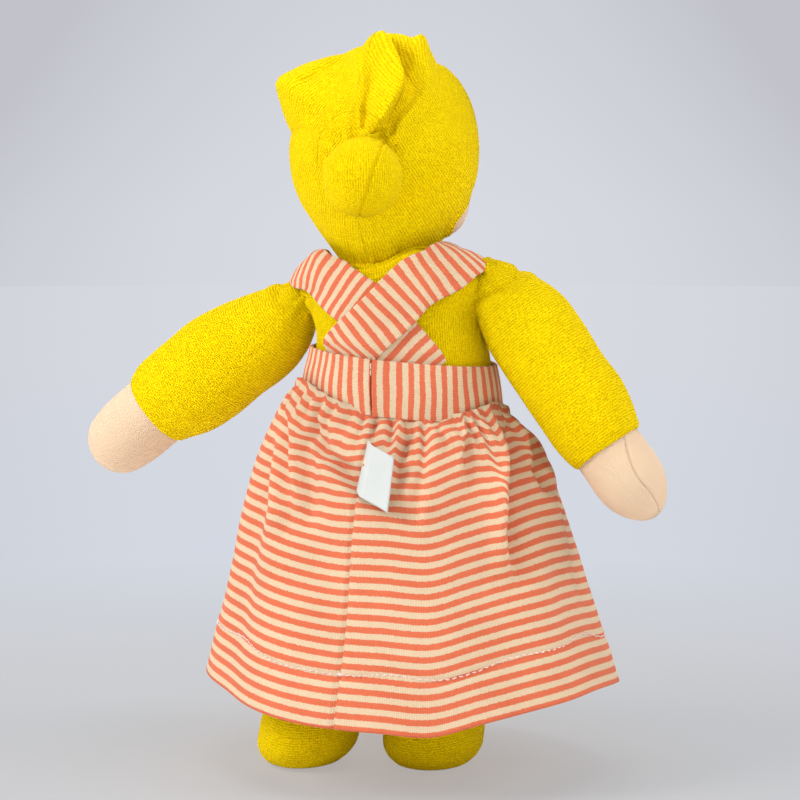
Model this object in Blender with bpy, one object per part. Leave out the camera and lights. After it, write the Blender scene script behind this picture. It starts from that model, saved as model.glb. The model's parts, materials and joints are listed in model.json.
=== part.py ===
"""A stuffed waldorf doll in a hooded terry suit and a striped pinafore dress.

The doll stands on its soles at z = 0 and faces -Y, so +X is its own left. Every stuffed piece is a cloth
casing, lofted from rings, and a separate filling inside it. The arms turn on the thread that gathers each
sleeve on the torso, the legs on the flat seam at their top, and the head rolls in the gathered neck.
"""

import math

import bmesh
import bpy
from mathutils import Vector
from mathutils.bvhtree import BVHTree

# Fits and cloth
TOUCH_GAP = 0.0003
TERRY = 0.0012
SKIN_JERSEY = 0.0008
DRESS_JERSEY = 0.0010
THREAD_RADIUS = 0.0007

# Where the body's axis stands, so that the whole doll is centred on the origin
BODY_X = -0.0152
BODY_Y = 0.0026

# Torso
TORSO_HALF_WIDTH = 0.0460
TORSO_HALF_DEPTH = 0.0360
HIP_Z = 0.112
HIP_EDGE_RADIUS = 0.0035
BODY_LEAN = 0.0085
NECK_RADIUS = 0.0175

# Head
HEAD_Z = 0.280
HOOD_RADIUS = 0.0432
HOOD_TAIL_RISE = 0.0085
HOOD_FOLD_LIFT = 0.0010
POMPOM_RADIUS = 0.0184
POMPOM_TURN = 101.7
POMPOM_RISE = -9.0
POMPOM_MOUTH = 22.0
POMPOM_HINGE_RISE = 62.0
FACE_HALF_WIDTH_TURN = 68.0
FACE_HALF_HEIGHT_TURN = 52.0
EYE_RADIUS = 0.0019
EYE_THICKNESS = 0.0006
EYE_TURN = 17.0
EYE_RISE = -3.0
MOUTH_HALF_WIDTH = 0.0042
MOUTH_HALF_HEIGHT = 0.0010
MOUTH_RISE = -21.0

# Arms
SHOULDER_Z = 0.214
SHOULDER_BALL = 0.0092
ARMHOLE_SEAM_RADIUS = 0.0060
LEFT_SLEEVE_LENGTH = 0.0860
RIGHT_SLEEVE_LENGTH = 0.0815
LEFT_SLEEVE_BOW = -0.0022
RIGHT_SLEEVE_BOW = 0.0070
SLEEVE_RADIUS = 0.0210
SLEEVE_DEPTH = 0.0205
HAND_LENGTH = 0.0370
HAND_RADIUS = 0.0172
LEFT_ARM_DROP = 38.5
RIGHT_ARM_DROP = 53.0
LEFT_ARM_WIDTH_SHARE = 1.17
RIGHT_ARM_WIDTH_SHARE = 1.10

# Legs
LEG_RADIUS = 0.0230
FOOT_HALF_LENGTH = 0.0265
TOE_SHIFT = 0.0030
SOLE_CUT = 0.0005
SOLE_DOME_RADIUS = 0.200
HIP_X = 0.0225
HIP_EDGE_HALF_WIDTH = 0.0190
LEFT_FOOT_X = 0.0450
LEFT_FOOT_Y = 0.0130
RIGHT_FOOT_X = -0.0125
RIGHT_FOOT_Y = -0.0040

# Dress
WAIST_Z = 0.1655
WAISTBAND_HEIGHT = 0.0252
WAIST_TILT = 0.0040
WAISTBAND_EASE = 0.0006
SKIRT_BACK_Z = 0.0320
SKIRT_FRONT_Z = 0.0390
SKIRT_SIDE_RISE = 0.0080
SKIRT_CORNER_RISE = 0.0070
SKIRT_CORNER_TURN = 152.0
SKIRT_HEM_HALF_WIDTH = 0.0980
SKIRT_HEM_HALF_DEPTH = 0.0800
SKIRT_HEM_X = -0.0030
SKIRT_HEM_Y = -0.0060
SKIRT_FOLD_DEPTH = 0.0085
SKIRT_PUFF_SHARE = 0.18
STRAP_WIDTH = 0.0220
STRAP_EASE = 0.0012
STRAP_SHOULDER_X = 0.0350
STRAP_BACK_X = 0.0130
STRAP_FRONT_X = 0.0240
CROSSING_REACH = 0.0240
CROSSING_FADE = 0.0100
LABEL_WIDTH = 0.0150
LABEL_LENGTH = 0.0260
LABEL_DROP = 0.0100
LABEL_SLANT = 0.0070
LABEL_THICKNESS = 0.0004
LABEL_TURN = 90.0

# Facets round each form
TORSO_SIDES = 24
LIMB_SIDES = 16
HOOD_SIDES = 40
HEAD_SIDES = 20
POMPOM_SIDES = 14
SKIRT_SIDES = 60
THREAD_SIDES = 5

# Height from the torso's bottom to its neck, half width, half depth and how far it leans to its left
TORSO_SHARES = (
    (0.000, 0.62, 0.20, 0.10),
    (0.020, 0.84, 0.60, 0.10),
    (0.080, 0.96, 0.88, 0.05),
    (0.180, 1.00, 1.00, 0.00),
    (0.400, 0.975, 0.985, 0.00),
    (0.590, 0.930, 0.930, 0.10),
    (0.760, 0.920, 0.860, 0.35),
    (0.860, 0.940, 0.800, 0.50),
    (0.930, 0.930, 0.750, 0.60),
    (0.976, 0.840, 0.680, 0.72),
    (0.997, 0.640, 0.570, 0.90),
)
# Along the sleeve from its pivot to its cuff, and its half width
SLEEVE_SHARES = (
    (0.070, 0.54),
    (0.130, 0.72),
    (0.220, 0.89),
    (0.340, 0.985),
    (0.520, 1.00),
    (0.720, 0.99),
    (0.870, 0.95),
    (0.955, 0.88),
    (1.000, 0.80),
)
# Along the hand from the cuff, and its half width
HAND_SHARES = (
    (0.000, 0.94),
    (0.200, 1.00),
    (0.480, 1.00),
    (0.720, 0.90),
    (0.900, 0.62),
)
# Height from the sole to the hip, half width, half depth, and the way from foot to hip
LEG_SHARES = (
    (0.022, 0.80, 0.80, 0.02),
    (0.070, 0.96, 0.96, 0.07),
    (0.130, 1.00, 1.00, 0.13),
    (0.330, 0.97, 0.90, 0.33),
    (0.600, 0.94, 0.80, 0.60),
    (0.800, 0.90, 0.64, 0.80),
    (0.920, 0.85, 0.36, 0.92),
)
# Down the skirt from the waist to the hem, and how far it has spread from waist to hem size
SKIRT_SHARES = (
    (0.00, 0.00),
    (0.04, 0.11),
    (0.12, 0.27),
    (0.24, 0.44),
    (0.40, 0.60),
    (0.56, 0.73),
    (0.72, 0.84),
    (0.87, 0.93),
    (1.00, 1.00),
)
# Each main fold's turn at the waist and at the hem, its half width, its depth and where it is deepest
SKIRT_FOLD_SHARES = (
    (161.0, 166.0, 7.0, 1.00, 0.30),
    (62.0, 92.0, 7.0, 0.85, 0.28),
    (38.0, 44.0, 6.0, 0.60, 0.35),
    (128.0, 138.0, 8.0, 0.55, 0.55),
    (186.0, 182.0, 7.0, 0.60, 0.60),
    (10.0, 12.0, 8.0, 0.60, 0.60),
    (210.0, 214.0, 8.0, 0.80, 0.45),
    (240.0, 236.0, 7.0, 0.75, 0.55),
    (268.0, 270.0, 8.0, 0.90, 0.50),
    (298.0, 302.0, 7.0, 0.75, 0.55),
    (328.0, 334.0, 8.0, 0.80, 0.45),
)
# The folded hood seen square from the back: turn about the line of sight, and reach of its outline
HOOD_VIEW_TURNS = (110.0, 5.0)
HOOD_OUTLINE_SHARES = (
    (-180.0, 1.00),
    (-50.0, 1.00),
    (-37.0, 1.03),
    (-20.0, 1.00),
    (0.0, 1.00),
    (12.0, 1.02),
    (35.0, 1.09),
    (55.0, 1.13),
    (63.0, 1.18),
    (71.0, 1.37),
    (77.0, 1.31),
    (88.0, 1.33),
    (97.0, 1.26),
    (103.0, 1.17),
    (112.0, 1.16),
    (125.0, 1.22),
    (137.0, 1.32),
    (145.0, 1.37),
    (153.0, 1.23),
    (165.0, 1.02),
    (180.0, 1.00),
)
# How far round from the line of sight the outline lies, and how quickly it fades, in degrees
HOOD_OUTLINE_AWAY = 84.0
HOOD_OUTLINE_SPREAD = 24.0
# The folded tail runs down the back through these directions: turn and rise
HOOD_TAIL_TURNS = ((112.0, 78.0), (119.0, 44.0), (113.0, 20.0), (106.0, 8.0))
HOOD_TAIL_SPREAD = 10.0


def clear_scene():
    for old in list(bpy.data.objects):
        bpy.data.objects.remove(old, do_unlink=True)


def finish(name, red, green, blue, roughness):
    """A cloth or thread finish for one sub-part."""
    made = bpy.data.materials.new(name)
    made.use_nodes = True
    shader = made.node_tree.nodes["Principled BSDF"]
    shader.inputs["Base Color"].default_value = (red, green, blue, 1)
    shader.inputs["Roughness"].default_value = roughness
    shader.inputs["Metallic"].default_value = 0
    made.diffuse_color = (red, green, blue, 1)
    return made


def terry(name):
    return finish(name, 0.88, 0.68, 0.01, 0.95)


def wool(name):
    return finish(name, 0.80, 0.76, 0.66, 0.98)


def jersey_skin(name):
    return finish(name, 0.90, 0.66, 0.46, 0.85)


def striped(name):
    return finish(name, 0.86, 0.38, 0.24, 0.9)


def place(name, bm, material):
    """The finished bmesh as one object, with its faces pointing out and its round sides smooth."""
    bmesh.ops.recalc_face_normals(bm, faces=bm.faces)
    mesh = bpy.data.meshes.new(name)
    bm.to_mesh(mesh)
    bm.free()
    mesh.materials.append(material)
    mesh.shade_smooth()
    mesh.set_sharp_from_angle(angle=math.radians(50))
    made = bpy.data.objects.new(name, mesh)
    bpy.context.scene.collection.objects.link(made)
    return made


def blend(low, high, share):
    return low + (high - low) * share


def smooth_step(share):
    held = min(max(share, 0), 1)
    return held * held * (3 - 2 * held)


def direction(turn, rise):
    """The unit vector that is turned from +X about +Z and raised from level, in degrees."""
    flat = math.cos(math.radians(rise))
    across = math.cos(math.radians(turn)) * flat
    forward = math.sin(math.radians(turn)) * flat
    return Vector((across, forward, math.sin(math.radians(rise))))


def facet_sink(radius, sides):
    """How far the middle of a facet lies inside the round form that its corners lie on."""
    return radius * (1 - math.cos(math.pi / sides))


def oval(centre, half_width, half_depth, sides):
    """A level ring of points."""
    points = []
    for step in range(sides):
        angle = 2 * math.pi * step / sides
        across = half_width * math.cos(angle)
        forward = half_depth * math.sin(angle)
        points.append(centre + Vector((across, forward, 0)))
    return points


def ring_about(centre, first, second, sides):
    """A ring of points in the plane of two vectors that already have its half sizes."""
    angles = [2 * math.pi * step / sides for step in range(sides)]
    return [centre + first * math.cos(a) + second * math.sin(a) for a in angles]


def surface(rings, pole=None):
    """An open skin through the rings. The first ring stays open, and a pole closes the last."""
    bm = bmesh.new()
    rows = [[bm.verts.new(point) for point in ring] for ring in rings]
    sides = len(rows[0])
    for row, following in zip(rows, rows[1:]):
        for step in range(sides):
            after = (step + 1) % sides
            bm.faces.new((row[step], row[after], following[after], following[step]))
    if pole is not None:
        tip = bm.verts.new(pole)
        for step in range(sides):
            bm.faces.new((rows[-1][step], rows[-1][(step + 1) % sides], tip))
    bm.normal_update()
    middle = sum((v.co for v in bm.verts), Vector()) / len(bm.verts)
    if sum(v.normal.dot(v.co - middle) for v in bm.verts) < 0:
        bmesh.ops.reverse_faces(bm, faces=bm.faces)
        bm.normal_update()
    bm.verts.ensure_lookup_table()
    return bm


def inset(bm, depth):
    """The skin's points moved in by a depth, in their order."""
    return [v.co - v.normal * depth for v in bm.verts]


def rows_of(points, sides, has_pole):
    """Points in the order that surface() makes them, as rings and a pole."""
    ringed = points[:-1] if has_pole else points
    rings = [ringed[start : start + sides] for start in range(0, len(ringed), sides)]
    return rings, (points[-1] if has_pole else None)


def double_wall(outer, inner, outer_pole=None, inner_pole=None):
    """A shell between two skins of the same layout, joined round every open edge."""
    bm = bmesh.new()
    walls = []
    for rings, pole in ((outer, outer_pole), (inner, inner_pole)):
        rows = [[bm.verts.new(point) for point in ring] for ring in rings]
        sides = len(rows[0])
        for row, following in zip(rows, rows[1:]):
            for step in range(sides):
                after = (step + 1) % sides
                bm.faces.new((row[step], row[after], following[after], following[step]))
        if pole is not None:
            tip = bm.verts.new(pole)
            for step in range(sides):
                bm.faces.new((rows[-1][step], rows[-1][(step + 1) % sides], tip))
        walls.append(rows)
    edges = (0,) if outer_pole is not None else (0, -1)
    for edge in edges:
        first = walls[0][edge]
        second = walls[1][edge]
        for step in range(len(first)):
            after = (step + 1) % len(first)
            bm.faces.new((first[step], first[after], second[after], second[step]))
    return bm


def casing(name, rings, pole, wall, material):
    """A cloth casing round a stuffed form, open at its first ring."""
    skin = surface(rings, pole)
    inner, inner_pole = rows_of(inset(skin, wall), len(rings[0]), True)
    skin.free()
    return place(name, double_wall(rings, inner, pole, inner_pole), material)


def stuffing(name, rings, pole, wall, material, start=0):
    """The filling that a casing holds, from a ring near its opening to its far end."""
    skin = surface(rings, pole)
    inner, inner_pole = rows_of(inset(skin, wall + TOUCH_GAP), len(rings[0]), True)
    skin.free()
    kept = inner[start:]
    filled = surface(kept, inner_pole)
    middle = sum(kept[0], Vector()) / len(kept[0])
    tip = filled.verts.new(middle)
    filled.verts.ensure_lookup_table()
    sides = len(kept[0])
    for step in range(sides):
        filled.faces.new((filled.verts[step], filled.verts[(step + 1) % sides], tip))
    return place(name, filled, material)


def thread_ring(name, centre, axis, radius, thread, sides, material):
    """Thread wound once round an axis."""
    bm = bmesh.new()
    across = axis.orthogonal().normalized()
    other = axis.cross(across).normalized()
    rows = []
    for step in range(sides):
        angle = 2 * math.pi * step / sides
        outward = across * math.cos(angle) + other * math.sin(angle)
        middle = centre + outward * radius
        ring = ring_about(middle, outward * thread, axis * thread, THREAD_SIDES)
        rows.append([bm.verts.new(point) for point in ring])
    for row, following in zip(rows, rows[1:] + rows[:1]):
        for step in range(THREAD_SIDES):
            after = (step + 1) % THREAD_SIDES
            bm.faces.new((row[step], row[after], following[after], following[step]))
    return place(name, bm, material)


def joint_mark(name, point):
    """An empty on a joint's axis, which the pieces that turn there hang from."""
    mark = bpy.data.objects.new(name, None)
    mark.location = point
    bpy.context.scene.collection.objects.link(mark)
    return mark


def hang(pieces, mark):
    bpy.context.view_layer.update()
    for piece in pieces:
        piece.parent = mark
        piece.matrix_parent_inverse = mark.matrix_world.inverted()


def neck_tie_z():
    """The tie lies against the round underside of the hood."""
    reach = HOOD_RADIUS + THREAD_RADIUS + TOUCH_GAP
    return HEAD_Z - math.sqrt(reach**2 - NECK_RADIUS**2)


def torso_bottom_z():
    return HIP_Z + HIP_EDGE_RADIUS + TOUCH_GAP


def torso_top_z():
    return neck_tie_z() - THREAD_RADIUS - TOUCH_GAP


def torso_size(z):
    """Half width, half depth and sideways lean of the torso at a height."""
    share = (z - torso_bottom_z()) / (torso_top_z() - torso_bottom_z())
    wide = [(at, w * TORSO_HALF_WIDTH, d * TORSO_HALF_DEPTH, lean) for at, w, d, lean in TORSO_SHARES]
    wide.append((1.0, NECK_RADIUS, NECK_RADIUS, 1.0))
    for low, high in zip(wide, wide[1:]):
        if share <= high[0]:
            way = max(share - low[0], 0) / (high[0] - low[0])
            return [blend(below, above, way) for below, above in zip(low[1:], high[1:])]
    return [NECK_RADIUS, NECK_RADIUS, 1.0]


def torso_centre(z):
    return Vector((BODY_X + BODY_LEAN * torso_size(z)[2], BODY_Y, z))


def head_centre():
    return Vector((BODY_X + BODY_LEAN, BODY_Y, HEAD_Z))


def waist_lift(across):
    """The dress sits higher on the doll's left side."""
    return WAIST_TILT * across / TORSO_HALF_WIDTH


def dress_ring(z, ease, sides):
    """A ring round the torso that stands off it by an ease and follows the dress's tilt."""
    points = []
    for step in range(sides):
        angle = 2 * math.pi * step / sides
        lifted = z + waist_lift(TORSO_HALF_WIDTH * math.cos(angle))
        half_width, half_depth, _ = torso_size(lifted)
        centre = torso_centre(lifted)
        across = (half_width + ease) * math.cos(angle)
        forward = (half_depth + ease) * math.sin(angle)
        points.append(centre + Vector((across, forward, 0)))
    return points


def torso_rings():
    bottom = torso_bottom_z()
    top = torso_top_z()
    rings = [oval(torso_centre(top), NECK_RADIUS, NECK_RADIUS, TORSO_SIDES)]
    for share, _, _, _ in reversed(TORSO_SHARES):
        z = blend(bottom, top, share)
        half_width, half_depth, _ = torso_size(z)
        rings.append(oval(torso_centre(z), half_width, half_depth, TORSO_SIDES))
    return rings, torso_centre(bottom)


def make_torso():
    rings, pole = torso_rings()
    casing("torso_casing", rings, pole, TERRY, terry("torso terry"))
    stuffing("torso_filling", rings, pole, TERRY, wool("torso wool"), start=2)
    tie = torso_centre(torso_top_z())
    tie.z = neck_tie_z()
    thread = terry("tie thread")
    return thread_ring("neck_tie", tie, Vector((0, 0, 1)), NECK_RADIUS, THREAD_RADIUS, TORSO_SIDES, thread)


def skin_radius():
    """The jersey head lies under the hood's terry."""
    return HOOD_RADIUS - TERRY - TOUCH_GAP - facet_sink(HOOD_RADIUS, HOOD_SIDES)


def pompom_centre():
    away = HOOD_RADIUS + TOUCH_GAP + POMPOM_RADIUS
    return head_centre() + direction(POMPOM_TURN, POMPOM_RISE) * away


def tail_share(towards):
    """How much of the folded tail's height lies over a direction, from 0 to 1."""
    path = [direction(turn, rise) for turn, rise in HOOD_TAIL_TURNS]
    nearest = math.pi
    for start, end in zip(path, path[1:]):
        for part in range(5):
            point = start.lerp(end, part / 4).normalized()
            nearest = min(nearest, towards.angle(point))
    return math.exp(-((math.degrees(nearest) / HOOD_TAIL_SPREAD) ** 2))


def outline_gain(towards):
    """How far the folded hood's outline stands out over a direction, as a share of its radius."""
    sight = direction(*HOOD_VIEW_TURNS)
    right = sight.cross(Vector((0, 0, 1))).normalized() * -1
    up = sight.cross(right)
    turn = math.degrees(math.atan2(towards.dot(up), towards.dot(right)))
    away = math.degrees(towards.angle(sight))
    fade = math.exp(-(((away - HOOD_OUTLINE_AWAY) / HOOD_OUTLINE_SPREAD) ** 2))
    for low, high in zip(HOOD_OUTLINE_SHARES, HOOD_OUTLINE_SHARES[1:]):
        if turn <= high[0]:
            way = max(turn - low[0], 0) / (high[0] - low[0])
            return (blend(low[1], high[1], way) - 1) * fade
    return 0


def hood_reach(towards):
    """The hood's outer radius in a direction: a ball with the folds of its tail, kept off the pompom."""
    reach = HOOD_RADIUS + max(HOOD_RADIUS * outline_gain(towards), HOOD_TAIL_RISE * tail_share(towards))
    ball = pompom_centre() - head_centre()
    clear = POMPOM_RADIUS + TOUCH_GAP + HOOD_FOLD_LIFT
    along = ball.dot(towards)
    aside = ball.length_squared - along**2
    if along > 0 and aside < clear**2:
        reach = min(reach, max(along - math.sqrt(clear**2 - aside), HOOD_RADIUS))
    return reach


def hood_directions():
    """Rings of directions from the edge of the face opening to the back of the head."""
    rows = []
    count = HOOD_SIDES * 2 // 3
    for level in range(count):
        row = []
        for step in range(HOOD_SIDES):
            angle = 2 * math.pi * step / HOOD_SIDES
            wide = FACE_HALF_WIDTH_TURN * math.cos(angle)
            high = FACE_HALF_HEIGHT_TURN * math.sin(angle)
            opening = math.radians(math.hypot(wide, high))
            away = blend(opening, math.pi, level / count)
            across = math.sin(away) * math.cos(angle)
            up = math.sin(away) * math.sin(angle)
            row.append(Vector((across, -math.cos(away), up)))
        rows.append(row)
    return rows


def make_head():
    centre = head_centre()
    rows = hood_directions()
    back = Vector((0, 1, 0))
    inner_radius = HOOD_RADIUS - TERRY
    outer = [[centre + way * hood_reach(way) for way in row] for row in rows]
    inner = [[centre + way * inner_radius for way in row] for row in rows]
    shell = double_wall(outer, inner, centre + back * hood_reach(back), centre + back * inner_radius)
    hood = place("hood", shell, terry("hood terry"))

    skin_rings, skin_pole = ball_rings(centre, skin_radius(), HEAD_SIDES, Vector((0, 0, 1)), POMPOM_MOUTH)
    skin = casing("head_skin", skin_rings, skin_pole, SKIN_JERSEY, jersey_skin("head jersey"))
    core = stuffing("head_core", skin_rings, skin_pole, SKIN_JERSEY, wool("head wool"))
    return [hood, skin, core] + make_face()


def ball_rings(centre, radius, sides, axis, mouth):
    """Rings of a ball from a round mouth at its foot to the pole that the axis points at."""
    across = axis.orthogonal().normalized()
    other = axis.cross(across).normalized()
    count = sides // 2
    rings = []
    for level in range(count):
        away = math.radians(blend(180 - mouth, 0, level / count))
        middle = centre + axis * radius * math.cos(away)
        ring_radius = radius * math.sin(away)
        rings.append(ring_about(middle, across * ring_radius, other * ring_radius, sides))
    return rings, centre + axis * radius


def face_patch(name, towards, half_width, half_height, material):
    """A small oval of embroidery that lies on the face."""
    out = towards.normalized()
    across = out.cross(Vector((0, 0, 1))).normalized()
    up = across.cross(out).normalized()
    foot = head_centre() + out * (skin_radius() + TOUCH_GAP)
    sides = 10
    rings = []
    for level, share in ((0, 0.9), (0.5, 1.0), (1.0, 0.7)):
        middle = foot + out * EYE_THICKNESS * level
        rings.append(ring_about(middle, across * half_width * share, up * half_height * share, sides))
    bm = surface(rings, foot + out * EYE_THICKNESS)
    bm.faces.new([bm.verts[step] for step in range(sides)])
    return place(name, bm, material)


def make_face():
    dark = finish("eye thread", 0.05, 0.07, 0.12, 0.8)
    rose = finish("mouth thread", 0.62, 0.14, 0.12, 0.8)
    made = []
    for name, side in (("eye_left", 1), ("eye_right", -1)):
        towards = direction(-90 + side * EYE_TURN, EYE_RISE)
        made.append(face_patch(name, towards, EYE_RADIUS, EYE_RADIUS, dark))
    made.append(face_patch("mouth", direction(-90, MOUTH_RISE), MOUTH_HALF_WIDTH, MOUTH_HALF_HEIGHT, rose))
    return made


def pompom_hinge():
    """The pompom hangs from the tail's tip, near the top of the side that faces the hood."""
    return pompom_centre() + direction(POMPOM_TURN + 180, POMPOM_HINGE_RISE) * POMPOM_RADIUS


def make_pompom():
    centre = pompom_centre()
    hinge = pompom_hinge()
    down = (centre - hinge).normalized()
    rings, pole = ball_rings(centre, POMPOM_RADIUS, POMPOM_SIDES, down, POMPOM_MOUTH)
    ball = casing("pompom", rings, pole, TERRY, terry("pompom terry"))
    filling = stuffing("pompom_filling", rings, pole, TERRY, wool("pompom wool"))
    hang([ball, filling], joint_mark("pompom_hinge", hinge))


def shoulder_centre(side):
    """The arm's pivot: its gathered end rests on the armhole thread, which rests on the torso."""
    widest = 0
    for step in range(LIMB_SIDES + 1):
        z = SHOULDER_Z + blend(-ARMHOLE_SEAM_RADIUS, ARMHOLE_SEAM_RADIUS, step / LIMB_SIDES)
        half_width, _, _ = torso_size(z)
        widest = max(widest, half_width + side * (torso_centre(z).x - BODY_X))
    seam = widest + TOUCH_GAP + THREAD_RADIUS
    reach = SHOULDER_BALL + THREAD_RADIUS + TOUCH_GAP
    pivot = seam + math.sqrt(reach**2 - ARMHOLE_SEAM_RADIUS**2)
    middle = Vector((BODY_X, BODY_Y, SHOULDER_Z))
    return middle + Vector((side * pivot, 0, 0)), middle + Vector((side * seam, 0, 0))


def sleeve_rings(pivot, along, lift, length, bow, width_share):
    """Rings from the cuff to the gathered ball at the shoulder."""
    rings = []
    forward = Vector((0, 1, 0))
    for at, half in reversed(SLEEVE_SHARES):
        middle = pivot + along * length * at + lift * bow * math.sin(math.pi * at)
        high = lift * SLEEVE_RADIUS * width_share * half
        deep = forward * SLEEVE_DEPTH * half
        rings.append(ring_about(middle, high, deep, LIMB_SIDES))
    for away in (96, 66, 33):
        ring_radius = SHOULDER_BALL * math.sin(math.radians(away))
        middle = pivot - along * SHOULDER_BALL * math.cos(math.radians(away))
        rings.append(ring_about(middle, lift * ring_radius, forward * ring_radius, LIMB_SIDES))
    return rings, pivot - along * SHOULDER_BALL


def hand_rings(pivot, along, lift, length):
    forward = Vector((0, 1, 0))
    rings = []
    start = length + TOUCH_GAP
    for at, half in HAND_SHARES:
        middle = pivot + along * (start + HAND_LENGTH * at)
        rings.append(ring_about(middle, lift * HAND_RADIUS * half, forward * HAND_RADIUS * half, LIMB_SIDES))
    return rings, pivot + along * (start + HAND_LENGTH)


def make_arm(word, side, drop, length, bow, width_share):
    pivot, seam = shoulder_centre(side)
    fall = math.radians(drop)
    along = Vector((side * math.cos(fall), 0, -math.sin(fall)))
    lift = Vector((side * math.sin(fall), 0, math.cos(fall)))
    sideways = Vector((1, 0, 0))
    name = word + "_armhole_seam"
    ring = thread_ring(name, seam, sideways, ARMHOLE_SEAM_RADIUS, THREAD_RADIUS, LIMB_SIDES, terry("seam"))
    rings, pole = sleeve_rings(pivot, along, lift, length, bow, width_share)
    sleeve = casing(word + "_sleeve", rings, pole, TERRY, terry("sleeve terry"))
    filling = stuffing(word + "_arm_filling", rings, pole, TERRY, wool("arm wool"))
    hand, tip = hand_rings(pivot, along, lift, length)
    glove = casing(word + "_hand", hand, tip, SKIN_JERSEY, jersey_skin("hand jersey"))
    palm = stuffing(word + "_hand_filling", hand, tip, SKIN_JERSEY, wool("hand wool"))
    hang([ring, sleeve, filling, glove, palm], joint_mark(word + "_shoulder", pivot))


def leg_rings(side, foot_x, foot_y):
    """Rings from the flat seam at the hip down to the sole."""
    hip = Vector((BODY_X + side * HIP_X, BODY_Y, HIP_Z))
    foot = Vector((BODY_X + foot_x, BODY_Y + foot_y, 0))
    rings = []
    for tilt in (58, 30, 0):
        rise = HIP_EDGE_RADIUS * math.sin(math.radians(tilt))
        half_depth = HIP_EDGE_RADIUS * math.cos(math.radians(tilt))
        half_width = HIP_EDGE_HALF_WIDTH - HIP_EDGE_RADIUS + half_depth
        rings.append(oval(hip + Vector((0, 0, rise)), half_width, half_depth, LIMB_SIDES))
    for at, wide, deep, way in reversed(LEG_SHARES):
        middle = foot.lerp(hip, way)
        middle.z = HIP_Z * at
        middle.y -= TOE_SHIFT * (1 - way) ** 2
        half_depth = blend(FOOT_HALF_LENGTH, LEG_RADIUS, smooth_step(at * 2)) * deep
        rings.append(oval(middle, LEG_RADIUS * wide, half_depth, LIMB_SIDES))
    flat = math.sqrt(2 * SOLE_DOME_RADIUS * SOLE_CUT)
    sole = foot - Vector((0, TOE_SHIFT, 0))
    rings.append(oval(sole, flat, flat * FOOT_HALF_LENGTH / LEG_RADIUS, LIMB_SIDES))
    return rings, sole, hip


def make_leg(word, side, foot_x, foot_y):
    rings, sole, hip = leg_rings(side, foot_x, foot_y)
    leg = casing(word + "_leg", rings, sole, TERRY, terry("leg terry"))
    filling = stuffing(word + "_leg_filling", rings, sole, TERRY, wool("leg wool"), start=3)
    hang([leg, filling], joint_mark(word + "_hip", hip))


def fold_offset(turn, down):
    """How far the skirt's folds draw it in at a turn and at a share of the way down."""
    drawn = 0
    for waist_turn, hem_turn, half, depth, deepest in SKIRT_FOLD_SHARES:
        middle = blend(waist_turn, hem_turn, down)
        apart = (turn - middle + 180) % 360 - 180
        width = half * (1 + down)
        fade = down / deepest if down < deepest else 1 - 0.65 * (down - deepest) / (1 - deepest)
        drawn += SKIRT_FOLD_DEPTH * depth * fade * math.exp(-((apart / width) ** 2))
    return drawn - SKIRT_FOLD_DEPTH * SKIRT_PUFF_SHARE * smooth_step(down * 4)


def skirt_rings():
    top = dress_ring(WAIST_Z - TOUCH_GAP, WAISTBAND_EASE + DRESS_JERSEY, SKIRT_SIDES)
    rings = []
    for down, spread in SKIRT_SHARES:
        ring = []
        for step, start in enumerate(top):
            turn = 360 * step / SKIRT_SIDES
            angle = math.radians(turn)
            hem_z = blend(SKIRT_FRONT_Z, SKIRT_BACK_Z, (1 + math.sin(angle)) / 2)
            hem_z += SKIRT_SIDE_RISE * math.cos(angle) ** 2
            corner = max(math.cos(angle - math.radians(SKIRT_CORNER_TURN)), 0)
            hem_z += SKIRT_CORNER_RISE * corner**4
            across = SKIRT_HEM_X + SKIRT_HEM_HALF_WIDTH * math.cos(angle)
            forward = SKIRT_HEM_Y + SKIRT_HEM_HALF_DEPTH * math.sin(angle)
            hem = Vector((BODY_X + across, BODY_Y + forward, hem_z + waist_lift(across / 2)))
            point = start.lerp(hem, spread)
            point.z = blend(start.z, hem.z, down)
            outward = Vector((math.cos(angle), math.sin(angle), 0))
            ring.append(point - outward * fold_offset(turn, down))
        rings.append(ring)
    return rings


def open_sheet(name, rings, thickness, material):
    """A cloth tube that is open at both ends."""
    skin = surface(rings)
    inner, _ = rows_of(inset(skin, thickness), len(rings[0]), False)
    skin.free()
    return place(name, double_wall(rings, inner), material)


def make_skirt():
    return open_sheet("skirt", skirt_rings(), DRESS_JERSEY, striped("skirt jersey"))


def make_waistband():
    sides = SKIRT_SIDES * 2 // 3
    outer_ease = WAISTBAND_EASE + DRESS_JERSEY
    levels = (WAIST_Z, WAIST_Z + WAISTBAND_HEIGHT / 2, WAIST_Z + WAISTBAND_HEIGHT)
    outer = [dress_ring(z, outer_ease, sides) for z in levels]
    inner = [dress_ring(z, WAISTBAND_EASE, sides) for z in levels]
    place("waistband", double_wall(outer, inner), striped("waistband jersey"))


def nearest_tree(piece):
    bm = bmesh.new()
    bm.from_mesh(piece.data)
    tree = BVHTree.FromBMesh(bm)
    bm.free()
    return tree


def curve_point(points, share):
    """A point on the smooth curve through some points."""
    spans = len(points) - 1
    place_on = min(share * spans, spans - 1e-9)
    index = int(place_on)
    way = place_on - index
    before = points[max(index - 1, 0)]
    start = points[index]
    end = points[index + 1]
    after = points[min(index + 2, spans)]
    leave = (end - before) / 2
    reach = (after - start) / 2
    square = way * way
    cube = square * way
    first = start * (2 * cube - 3 * square + 1) + leave * (cube - 2 * square + way)
    return first + end * (3 * square - 2 * cube) + reach * (cube - square)


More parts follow.
